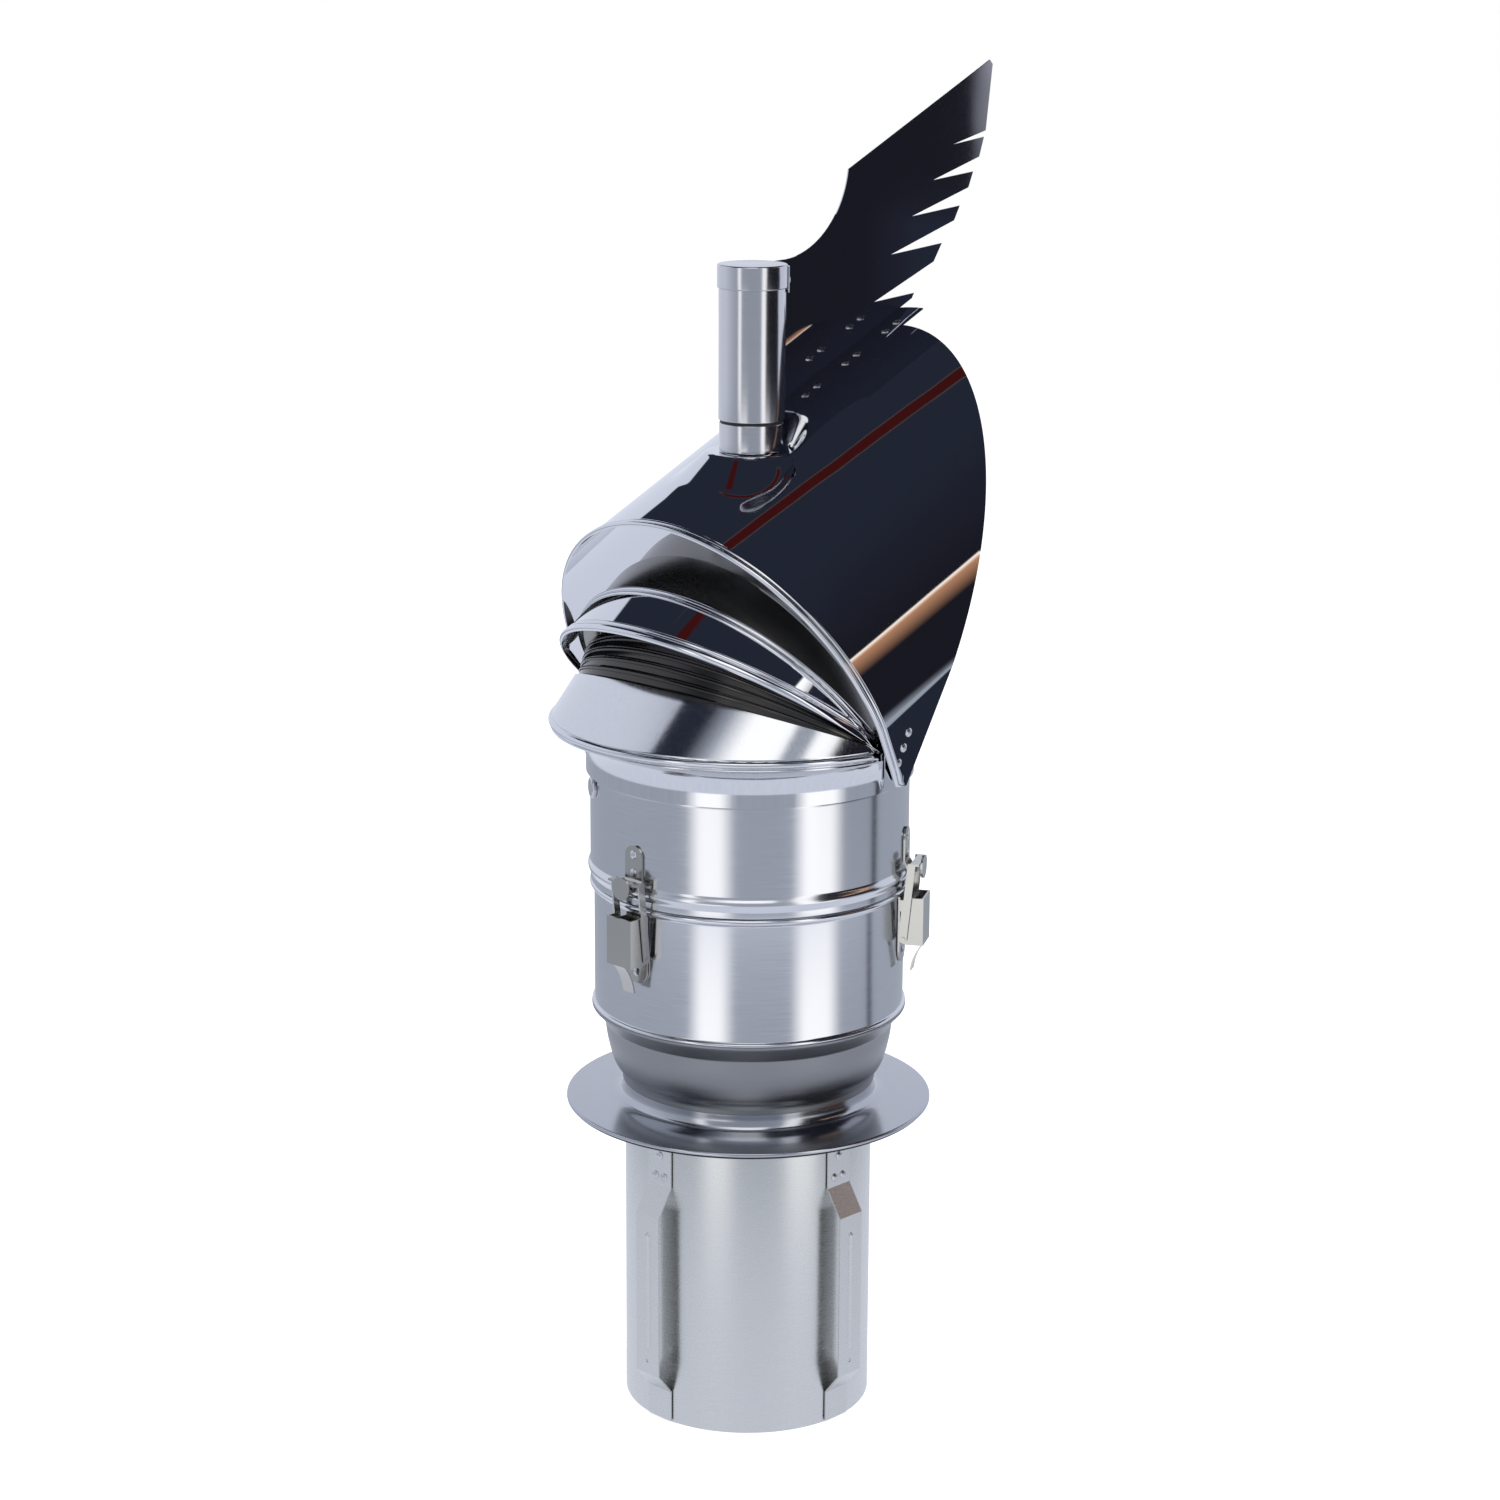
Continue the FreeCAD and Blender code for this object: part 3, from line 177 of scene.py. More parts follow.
def piece(name, points, faces, body, finish, slot, replaced=(), sharp=38.0):
    """A finished mesh piece: doubles welded, faces outwards, smooth but for sharp edges, riding on a body."""
    mesh = bpy.data.meshes.new(name)
    mesh.from_pydata((np.asarray(points) * MM).tolist(), [], np.asarray(faces).tolist())
    work = bmesh.new()
    work.from_mesh(mesh)
    bmesh.ops.remove_doubles(work, verts=work.verts, dist=2e-6)
    bmesh.ops.dissolve_degenerate(work, edges=work.edges, dist=1e-7)
    bmesh.ops.recalc_face_normals(work, faces=work.faces)
    work.to_mesh(mesh)
    work.free()
    mesh.shade_smooth()
    mesh.set_sharp_from_angle(angle=math.radians(sharp))
    thing = bpy.data.objects.new(name, mesh)
    bpy.context.scene.collection.objects.link(thing)
    mesh.materials.append(finish)
    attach(thing, body)
    if replaced:
        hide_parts(*replaced)
    return thing


def spun(outline, steps=SPIN_STEPS):
    """Points and faces of a closed (radius, height) outline spun about Z: x = r cos a, y = r sin a."""
    outline = np.asarray(outline, float)
    turn = np.linspace(0.0, 2 * np.pi, steps, endpoint=False)[:, None]
    r, z = outline[None, :, 0], outline[None, :, 1]
    points = np.stack([r * np.cos(turn), r * np.sin(turn), z + 0 * turn], -1)
    return points.reshape(-1, 3), grid_faces(steps, len(outline), True, True)


def shell(outer, inner, wrap=False):
    """Points and faces of a sheet between two grids of the same size, closed along its edges."""
    rows, columns = outer.shape[:2]
    points = np.concatenate([outer.reshape(-1, 3), inner.reshape(-1, 3)])
    near = grid_faces(rows, columns, wrap, False)
    count = rows * columns
    faces = [near, near[:, ::-1] + count]
    line = np.arange(rows if wrap else rows - 1)
    for column in (0, columns - 1):
        a = line * columns + column
        b = ((line + 1) % rows) * columns + column
        faces.append(np.stack([a, b, b + count, a + count], -1))
    if not wrap:
        line = np.arange(columns - 1)
        for row in (0, rows - 1):
            a = row * columns + line
            faces.append(np.stack([a, a + 1, a + 1 + count, a + count], -1))
    return points, np.concatenate(faces)


def drilled(points, faces, radius):
    """A sheet of two equal skins with a round hole about the axis.

    Faces that reach within the radius go, the hole's edge points are scaled in to it, and the skins are
    joined there.
    """
    count = len(points) // 2
    reach = np.hypot(points[:, 0], points[:, 1])
    gone = (reach[faces] < radius).any(1)
    lost = faces[gone & (faces < count).all(1)]
    edges = np.concatenate([lost[:, [i, (i + 1) % 4]] for i in range(4)])
    _, where, seen = np.unique(np.sort(edges, 1), axis=0, return_index=True, return_counts=True)
    rim = edges[where[seen == 1]]
    points = points.copy()
    for side in (0, count):
        spot = np.unique(rim) + side
        points[spot, :2] *= (radius / reach[spot])[:, None]
    bridge = np.stack([rim[:, 0], rim[:, 1], rim[:, 1] + count, rim[:, 0] + count], -1)
    return points, np.concatenate([faces[~gone], bridge])


def joined(parts):
    """Several (points, faces) pairs as one."""
    points, faces, count = [], [], 0
    for some_points, some_faces in parts:
        points.append(some_points)
        faces.append(some_faces + count)
        count += len(some_points)
    return np.concatenate(points), np.concatenate(faces)


def spread(*spans):
    """Numbers from the first span's start to the last one's end, each (start, end, count) evenly filled."""
    runs = [np.linspace(start, end, count, endpoint=False) for start, end, count in spans]
    return np.concatenate(runs + [[spans[-1][1]]])


def roll(distance, middle, half, height):
    """Cross-section of a rolled bead: height times the root of one minus the squared distance ratio."""
    return height * np.sqrt(np.clip(1 - ((distance - middle) / half) ** 2, 0, 1))


def ease(value, start, end):
    """A smooth step from 0 at start to 1 at end: 3t^2 - 2t^3."""
    t = np.clip((value - start) / (end - start), 0, 1)
    return t * t * (3 - 2 * t)


def soft_least(a, b, round_off):
    """The lower of two surfaces with the crease between them rounded off by a parabola."""
    h = np.clip(0.5 + 0.5 * (b - a) / round_off, 0, 1)
    return b * (1 - h) + a * h - round_off * h * (1 - h)


def tilted(slope):
    """The directions along and square to an axis that climbs downwind by an angle."""
    return np.array([math.cos(slope), 0, math.sin(slope)]), np.array([-math.sin(slope), 0, math.cos(slope)])


def on_tube(origin, slope, run, rise, side):
    """Points of a tilted tube: a run along its axis, a rise square to it and a side step along Y."""
    way, up = tilted(slope)
    return origin + way * run[..., None] + up * rise[..., None] + np.array([0, 1.0, 0]) * side[..., None]


def ear_tab(x, z, depths):
    """An upright patch over rows of x and columns of z, between two depths along Y."""
    x, z = x[:, None], z[None, :]
    return shell(*[np.stack([x + 0 * z, depth + 0 * (x + z), z + 0 * x], -1) for depth in depths])


# Finishes

def add(tree, kind, sets=None, feeds=None, **looks):
    """A node with its own settings, its input values, and the sockets that feed its inputs."""
    node = tree.nodes.new(kind)
    for name, value in looks.items():
        setattr(node, name, value)
    for socket, value in (sets or {}).items():
        node.inputs[socket].default_value = value
    for socket, source in (feeds or {}).items():
        tree.links.new(source, node.inputs[socket])
    return node


def finish(name):
    """An empty node material and its tree, with its output node."""
    material = bpy.data.materials.new(name)
    material.use_nodes = True
    material.node_tree.nodes.clear()
    return material, material.node_tree, add(material.node_tree, "ShaderNodeOutputMaterial")


def ramp(tree, source, span, stops):
    """Colours along a source that stands for -span to span: stops are (place, hex code or grey level)."""
    node = add(tree, "ShaderNodeValToRGB", feeds={"Fac": source})
    band = node.color_ramp
    band.elements.remove(band.elements[-1])
    for i, (place, shade) in enumerate(stops):
        where = (place + span) / (2 * span)
        stop = band.elements[0] if i == 0 else band.elements.new(where)
        stop.position = where
        stop.color = (linear(shade) if isinstance(shade, str) else (shade,) * 3) + (1.0,)
    return node.outputs["Color"]


def window(tree, source, span, *places):
    """A mask that rises between the first two places, and falls between the last two where four are given."""
    return ramp(tree, source, span, zip(places, (0.0, 1.0, 1.0, 0.0)))


def seen_rays(tree):
    """1 for the rays that show the white surround: camera, glossy and transmission rays."""
    rays = add(tree, "ShaderNodeLightPath")
    seen = rays.outputs["Is Camera Ray"]
    for kind in ("Is Glossy Ray", "Is Transmission Ray"):
        seen = add(tree, "ShaderNodeMath", feeds={0: seen, 1: rays.outputs[kind]},
                   operation="MAXIMUM").outputs[0]
    return seen


def metal(name, colour, roughness, scratch_mm, stretch, depth, wave_mm=None, wave_depth=0.0, uneven=0.03,
          grain_mix=0.06):
    """A worked metal surface: streaks of a given width drawn out along an axis, over slow unevenness.

    Noise on object coordinates is squeezed to the scratch width across the stroke and drawn out along it. It
    moves the roughness and the height. A second, slow noise bends the reflections as rolled sheet does.
    """
    material, tree, output = finish(name)
    place = add(tree, "ShaderNodeTexCoord").outputs["Object"]
    across = 1.0 / (scratch_mm * MM)
    stroke = add(tree, "ShaderNodeMapping", {"Scale": [across * s for s in stretch]}, {"Vector": place})
    streak = add(tree, "ShaderNodeTexNoise", {"Scale": 1.0, "Detail": 3.0, "Roughness": 0.55},
                 {"Vector": stroke.outputs["Vector"]})
    rough = add(tree, "ShaderNodeMapRange",
                {"From Min": 0.25, "From Max": 0.75, "To Min": roughness - uneven,
                 "To Max": roughness + uneven}, {"Value": streak.outputs["Fac"]})
    dark = tuple(c * (1 - grain_mix * 2) for c in colour) + (1.0,)
    shade = add(tree, "ShaderNodeMix", {6: dark, 7: tuple(colour) + (1.0,)}, {0: streak.outputs["Fac"]},
                data_type="RGBA")
    height = add(tree, "ShaderNodeBump", {"Strength": 1.0, "Distance": depth * MM},
                 {"Height": streak.outputs["Fac"]})
    if wave_mm:
        slow = add(tree, "ShaderNodeTexNoise",
                   {"Scale": 1.0 / (wave_mm * MM), "Detail": 1.0, "Roughness": 0.4}, {"Vector": place})
        height = add(tree, "ShaderNodeBump", {"Strength": 1.0, "Distance": wave_depth * MM},
                     {"Height": slow.outputs["Fac"], "Normal": height.outputs["Normal"]})
    steel = add(tree, "ShaderNodeBsdfPrincipled", {"Metallic": 1.0},
                {"Base Color": shade.outputs[2], "Roughness": rough.outputs["Result"],
                 "Normal": height.outputs["Normal"]})
    tree.links.new(steel.outputs["BSDF"], output.inputs["Surface"])
    return material


def rubber(name, colour):
    """Moulded rubber: matt, with a fine grain from the mould."""
    material, tree, output = finish(name)
    place = add(tree, "ShaderNodeTexCoord").outputs["Object"]
    grain = add(tree, "ShaderNodeTexNoise", {"Scale": 1.0 / (0.6 * MM), "Detail": 2.0}, {"Vector": place})
    height = add(tree, "ShaderNodeBump", {"Strength": 0.5, "Distance": 0.05 * MM},
                 {"Height": grain.outputs["Fac"]})
    body = add(tree, "ShaderNodeBsdfPrincipled", {"Base Color": tuple(colour) + (1.0,), "Roughness": 0.6},
               {"Normal": height.outputs["Normal"]})
    tree.links.new(body.outputs["BSDF"], output.inputs["Surface"])
    return material


FINISHES = {}


def make_finishes():
    """Every finish of the cowl, by name."""
    colours = bpy.context.scene.cowl_colours
    # Mirror polished stainless sheet: sharp reflections that swim a little where the sheet isn't flat
    FINISHES["polished"] = metal("Mirror polished stainless sheet", colours.polished, 0.03, 1.2, (1, 1, 1),
                                 0.00015, wave_mm=55.0, wave_depth=0.10, uneven=0.01, grain_mix=0.01)
    # Spun and brushed stainless: strokes run round the drum, so light spreads up and down in soft columns
    FINISHES["brushed"] = metal("Circumference brushed stainless sheet", colours.brushed, 0.16, 0.45,
                                (0.02, 0.02, 1.0), 0.004, wave_mm=70.0, wave_depth=0.10)
    # Spun visor wall, brushed up and down: faint streaks run up the wall
    FINISHES["drawn"] = metal("Upright brushed stainless sheet", colours.brushed, 0.12, 1.6, (1.0, 1.0, 0.03),
                              0.004, wave_mm=60.0, wave_depth=0.08)
    # Rolled tube with a mill finish: even and satin
    FINISHES["satin"] = metal("Satin rolled stainless tube", colours.satin, 0.28, 0.5, (0.05, 0.05, 1.0),
                              0.003, wave_mm=80.0, wave_depth=0.06)
    # Lathe-turned steel: fine rings that draw the light out into upright bars
    FINISHES["turned"] = metal("Lathe turned stainless steel", colours.turned, 0.17, 0.25, (0.01, 0.01, 1.0),
                               0.003)
    # Pressed latch steel, tumbled bright: soft-edged reflections
    FINISHES["pressed"] = metal("Tumbled bright pressed steel", colours.pressed, 0.2, 0.8, (1, 1, 1), 0.004)
    # Plain rivets and fixings
    FINISHES["plain"] = metal("Plain stainless fixings", colours.turned, 0.26, 0.5, (1, 1, 1), 0.003)
    # Mill finished sheet inside the visor: duller, never polished after rolling, and greyer as painted shade
    # of the hood
    FINISHES["mill"] = metal("Mill finished stainless sheet with painted shade", colours.mill, 0.2, 0.8, (1, 1, 1), 0.003,
                             wave_mm=50.0, wave_depth=0.08)
    # Sheet deep in the visor, its colour painted near black as painted shade of the lips
    FINISHES["shaded"] = metal("Stainless sheet with painted shade", colours.shaded, 0.14, 0.8, (1, 1, 1), 0.003)
    # Spun disc: rings so fine that it still mirrors softly
    FINISHES["spun"] = metal("Bright spun stainless sheet", colours.spun, 0.17, 0.4, (0.03, 0.03, 1.0), 0.002,
                             wave_mm=45.0, wave_depth=0.12)
    # Deep-drawn bowl, left dull by the press
    FINISHES["dull"] = metal("Dull deep-drawn stainless sheet", colours.dull, 0.36, 0.5, (0.03, 0.03, 1.0),
                             0.004)
    FINISHES["rubber"] = rubber("Moulded black rubber", colours.rubber)


# Pieces

class COWL_OT_finishes(bpy.types.Operator):
    """Make the finishes and give every solid its own"""
    bl_idname = "cowl.finishes"
    bl_label = "Finishes"

    def execute(self, context):
        make_finishes()
        by_slot = {"polished_sheet": "polished", "brushed_sheet": "brushed", "satin_tube": "satin",
                   "dark_seal": "rubber", "turned_steel": "turned", "latch_steel": "pressed",
                   "bearing_steel": "plain", "fixing_steel": "plain", "rivet_steel": "plain"}
        slots = {part["node"]: part["material_slot"] for part in frame["record"]["subparts"]}
        for name, node in NODES.items():
            node.data.materials.clear()
            node.data.materials.append(FINISHES[by_slot[slots[name]]])
        return {"FINISHED"}


class COWL_OT_base(bpy.types.Operator):
    """Spigot, cover disc, reducer and the two drums, all spun about the axis"""
    bl_idname = "cowl.base"
    bl_label = "Spigot, disc, reducer and drums"

    def execute(self, context):
        sizes = context.scene.cowl_sizes
        t = sizes.sheet / MM
        spigot, top = sizes.spigot / MM, sizes.spigot_top / MM
        wall = rounded([(spigot - 1, 0), (spigot, 0), (spigot, top), (spigot - 1, top)], 0.35)
        piece("spigot_tube", *spun(wall), "base", FINISHES["satin"], "satin_tube", ["flue_spigot"])
        low, r = sizes.disc_height / MM, sizes.disc / MM
        edge = low - 0.6
        inner = spigot + 0.02
        plate = rounded([(inner, low + 13.5), (inner, low), (r - t, edge), (r - t, edge - 1.4),
                         (r, edge - 1.4), (r, edge + t), (inner + t + 3.5, low + t), (inner + t, low + 4.5),
                         (inner + t, low + 13.5)], [0.2, 0.2, 0.2, 0.2, 0.2, 1.2, 6.0, 6.0, 0.2], 10)
        piece("cover_disc", *spun(plate), "base", FINISHES["spun"], "brushed_sheet", ["base_disc"])
        hole, foot = 76.72, 188.9
        ring = rounded([(hole, foot), (r - 1.4, foot), (r - 1.4, edge - 0.02), (hole, edge - 0.02)], 0.4)
        piece("gasket_ring", *spun(ring), "base", FINISHES["rubber"], "dark_seal", ["disc_gasket"])
        drum = sizes.lower_drum / MM
        neck = inner + t + 0.02
        skin = [(neck, 203.6), (neck + t, 203.6), (neck + t, 208.5), (neck + t + 4.5, 213.5), (83.8, 221.0),
                (86.2, 232.0), (87.1, 240.5), (93.2, 249.6), (93.2, 252.0), (92.4, 252.0), (92.4, 250.0),
                (86.3, 241.0), (85.4, 232.4), (83.0, 221.6), (neck + 3.9, 214.4), (neck, 209.0)]
        radii = [0.2, 0.2, 3.0, 4.0, 6.0, 4.0, 0.8, 0.8, 0.1, 0.1, 0.8, 0.8, 4.0, 6.0, 4.0, 3.0]
        bead = rounded([(92.6, 249.4), (94.9, 249.9), (95.0, 252.0), (92.6, 252.0)], [0.1, 1.4, 0.5, 0.1])
        piece("reducer_bowl", *joined([spun(rounded(skin, radii, 8)), spun(bead)]), "base", FINISHES["dull"],
              "brushed_sheet", ["reducer"])
        seam = sizes.seam / MM
        wall = [(drum - t, 252.0), (94.9, 252.02), (94.7, 253.6), (drum, 254.2), (drum, 324.9), (95.7, 326.1),
                (95.9, 328.6), (drum + 0.2, seam - 0.02), (drum, seam + 1.0), (drum, seam + 18),
                (drum - t, seam + 18)]
        radii = [0.1, 0.6, 1.0, 0.5, 0.7, 1.6, 1.6, 0.3, 0.3, 0.2, 0.2]
        piece("lower_drum_wall", *spun(rounded(wall, radii, 8)), "base", FINISHES["brushed"], "brushed_sheet",
              ["lower_drum"])
        upper, high = sizes.upper_drum / MM, sizes.drum_top / MM
        bore = upper - t
        swage = 1.3
        wall = [(bore, seam), (upper, seam), (upper, 334.4), (upper + swage * 1.5, 338.2), (upper, 342.0),
                (upper, high - 3.2), (upper - 0.6, high), (upper - 3.0, high), (upper - 3.0, high - 1.1),
                (bore, high - 3.4), (bore, 342.0), (bore + swage * 1.5, 338.2), (bore, 334.4)]
        radii = [0.2, 0.3, 1.0, 2.6, 1.0, 1.5, 1.2, 0.3, 0.3, 0.4, 1.0, 2.6, 1.0]
        piece("upper_drum_wall", *spun(rounded(wall, radii, 8)), "base", FINISHES["brushed"], "brushed_sheet",
              ["upper_drum"])
        return {"FINISHED"}


class COWL_OT_bearing_stack(bpy.types.Operator):
    """Collar, seal, bearing tube and cap, turned on a lathe"""
    bl_idname = "cowl.bearing_stack"
    bl_label = "Collar, bearing tube and cap"

    def execute(self, context):
        sizes = context.scene.cowl_sizes
        collar, tube, cap = sizes.collar / MM, sizes.tube / MM, sizes.cap / MM
        shapes = {
            "collar_ring": ([(BORE, 587.0), (collar, 587.0), (collar, 603.4), (BORE, 603.4)], 0.5,
                            "hood_collar"),
            "tube_sleeve": ([(BORE, 605.0), (tube, 605.0), (tube, 681.5), (17.5, 681.5), (17.5, 612.0),
                             (BORE, 612.0)], 0.5, "bearing_tube"),
            "cap_turned": ([(0, 695.0), (0, 692.0), (15.48, 692.0), (15.48, 674.5), (17.48, 674.5),
                            (17.48, 681.5), (cap, 681.5), (cap, 695.0)],
                           [0, 0, 0.4, 0.3, 0.3, 0.1, 0.4, 1.0], "tube_cap")}
        for name, (outline, radii, node) in shapes.items():
            piece(name, *spun(rounded(outline, radii), 160), "head", FINISHES["turned"], "turned_steel",
                  [node])
        return {"FINISHED"}


class COWL_OT_lower_visor(bpy.types.Operator):
    """Lower segment: skirt, spun flare, rolled lip and the wall that is sliced off towards the ears"""
    bl_idname = "cowl.lower_visor"
    bl_label = "Lower visor segment"
    slope, tilt = math.radians(45.0), math.radians(22.0)
    ear = (3.3, 423.0)
    lip_top = 430.0

    def execute(self, context):
        sizes = context.scene.cowl_sizes
        t, wall, skirt = sizes.sheet / MM, sizes.lower_visor / MM, sizes.skirt / MM
        # The profile by its own length: up the skirt, out along the flare's quarter arc, then up the wall,
        # whose level circles drift downwind by the height above the lip times the cotangent of the slope
        turn = np.linspace(0, np.pi / 2, 24)
        flare_r = skirt + (wall - skirt) * (1 - np.cos(turn))
        flare_z = 404.0 + 19.0 * np.sin(turn) ** 1.15
        climb = np.concatenate([np.linspace(423.2, 432.0, 40), np.linspace(432.6, 474.0, 30)])
        r = np.concatenate([np.full(5, skirt), flare_r, np.full(len(climb), wall)])
        z = np.concatenate([np.linspace(396.5, 403.5, 5), flare_z, climb])
        swell = roll(z, 427.0, 2.0, 2.3) + roll(z, 422.9, 1.3, 0.9)
        turn = np.linspace(0, 2 * np.pi, 320, endpoint=False)[:, None]
        windward = ease(-wall * np.cos(turn), 14.0, 26.0)
        radius = r[None, :] + swell[None, :] * windward
        drift = np.clip(z - self.lip_top, 0, None) / math.tan(self.slope)
        x = radius * np.cos(turn) + drift
        cut = self.ear[1] + (self.ear[0] - x) * math.tan(self.tilt)
        cut = np.where(np.abs(x) < 12.0, np.maximum(cut, self.lip_top), cut)
        cut = np.where(x > 8.0, 403.5, cut)
        # Points above the slice are drawn back to it along the profile
        above = z[None, :] - cut
        first = np.clip(np.argmax(above > 0, axis=1), 4, None)
        first = np.where((above <= 0).all(1), len(z) - 1, first)
        line = np.arange(len(turn))
        under, over = above[line, first - 1], above[line, first]
        keep = first - 1 + np.clip(-under / np.where(over - under == 0, 1, over - under), 0, 1)
        index = np.arange(len(z))[None, :] * (keep / (len(z) - 1.0))[:, None]
        low = np.floor(index).astype(int)
        high = np.minimum(low + 1, len(z) - 1)
        part = index - low
        line = line[:, None]
        rr = radius[line, low] * (1 - part) + radius[line, high] * part
        zz = z[low] * (1 - part) + z[high] * part
        shift = drift[low] * (1 - part) + drift[high] * part
        slope = np.clip(np.gradient(r, z)[low], -3, 3)
        thin = t / np.sqrt(1 + slope ** 2)
        outer = np.stack([rr * np.cos(turn) + shift, rr * np.sin(turn), zz], -1)
        bore = np.minimum(rr, r[low] * (1 - part) + r[high] * part) - thin
        inner = np.stack([bore * np.cos(turn) + shift, bore * np.sin(turn), zz + slope * thin], -1)
        parts = [shell(outer, inner, True)]
        # The sleeve's near-black colour is painted shade of the lips above it
        piece("lower_visor_sleeve", *self.sleeve(wall, t), "head", FINISHES["shaded"], "brushed_sheet")
        # Ear tabs: patches of the wall's cylinder that stand up behind the other segments' ears
        tab_x = np.linspace(-12.0, 8.0, 12)
        for side in (1, -1):
            depths = [side * np.sqrt(r ** 2 - tab_x[:, None] ** 2) for r in (wall, wall - t)]
            parts.append(ear_tab(tab_x, np.linspace(412.0, 444.0, 12), depths))
        piece("lower_visor", *joined(parts), "head", FINISHES["drawn"], "brushed_sheet", ["lower_segment"])
        return {"FINISHED"}

    def sleeve(self, wall, t):
        """The ridged sleeve inside the wall: the slice's own outline, drawn in and carried up to a plane.

        A point of the outline at angle a has the height z at which the drifted circle meets the slice's
        plane. It is carried along a steeper slope until it meets the plane through the middle segment's ears.
        """
        turn = np.linspace(np.pi - 1.46, np.pi + 1.46, 240)[:, None]
        share = spread((0, 1, 60))[None, :]
        ridges = np.clip(np.sin(share * 2 * np.pi * 5), 0, None) ** 0.5 * 0.9
        way = (math.cos(math.radians(65.0)), math.sin(math.radians(65.0)))
        fall, lift, rate = math.tan(self.tilt), math.tan(math.radians(44.0)), 1 / math.tan(self.slope)
        skins = []
        for r in (wall - 3.0, wall - 3.0 - t):
            z = self.ear[1] + fall * (self.ear[0] - r * np.cos(turn) + self.lip_top * rate)
            z = z / (1 + fall * rate) - 1.5
            x = r * np.cos(turn) + (z - self.lip_top) * rate
            run = np.clip((420.0 + lift * (-3.0 - x) - z) / (way[1] + lift * way[0]), 0.3, None) * share
            swell = ridges * ease(run.max(1, keepdims=True), 3.0, 12.0)
            skins.append(np.stack([x + way[0] * run + swell * np.cos(turn),
                                   (r + swell) * np.sin(turn) + 0 * run, z + way[1] * run], -1))
        return shell(*skins)


class COWL_OT_middle_visor(bpy.types.Operator):
    """Middle segment: a slice of a tilted tube between two planes through its ears, with rolled lips"""
    bl_idname = "cowl.middle_visor"
    bl_label = "Middle visor segment"

    def execute(self, context):
        sizes = context.scene.cowl_sizes
        t, radius = sizes.sheet / MM, sizes.middle / MM
        slope = math.radians(36.0)
        top_tilt = 52.4
        ear = np.array([-3.0, 0, 420.0])
        around = spread((-1.565, 1.565, 300))[:, None]

        def meet(rise, tilt):
            """Run along the axis at which a generator meets the plane through the ears at a tilt."""
            return -rise / math.tan(math.radians(tilt) + slope)

        low, high = (meet(radius * np.cos(around), tilt) for tilt in (35.5, top_tilt))
        width = high - low
        lip, top = np.minimum(9.6, width * 0.45), np.minimum(7.4, width * 0.3)
        share = spread((0, 1, 34))[None, :]
        rows = np.concatenate([low + lip * share, (low + lip) + (width - lip - top) * share[:, 1:-1],
                               (high - top) + top * share], 1)
        from_low, from_high = rows - low, high - rows
        fade = ease(width, 6.0, 26.0)
        swell = (roll(from_low, 2.5, 2.5, 1.9) + roll(from_low, 6.8, 1.2, 0.9)
                 + roll(from_high, 1.3, 1.3, 1.1) + roll(from_high, 4.6, 1.2, 0.9)) * fade
        skins = [on_tube(ear, slope, rows, r * np.cos(around), r * np.sin(around))
                 for r in (radius + swell, np.full(rows.shape, radius - t))]
        parts = [shell(*skins)]
        # The sleeve under the hood: a narrower tube on the same axis, from below the top bead up to a steeper
        # plane, with a step in it
        skins = []
        for r in (radius - 2.0, radius - 2.0 - t):
            rise = r * np.cos(around)
            start = meet(rise, top_tilt) - 4.0 * fade
            step = meet(rise, 67.0)
            end = np.maximum(meet(rise, 80.0), start + 0.3)
            run = start + (end - start) * spread((0, 1, 60))[None, :]
            narrow = r - 4.0 * ease(run, step - 1.0, step + 2.0) * ease(end - start, 4.0, 14.0)
            skins.append(on_tube(ear, slope, run, narrow * np.cos(around), narrow * np.sin(around)))
        # The sleeve's greyer colour is partly its mill finish and partly painted shade under the hood
        piece("middle_visor_sleeve", *shell(*skins), "head", FINISHES["mill"], "polished_sheet")
        for side in (1, -1):
            parts.append(ear_tab(np.linspace(-12.0, 8.0, 6), np.linspace(411.0, 444.0, 8),
                                 (side * radius, side * (radius - t))))
        piece("middle_visor", *joined(parts), "head", FINISHES["polished"], "polished_sheet",
              ["middle_segment"])
        return {"FINISHED"}


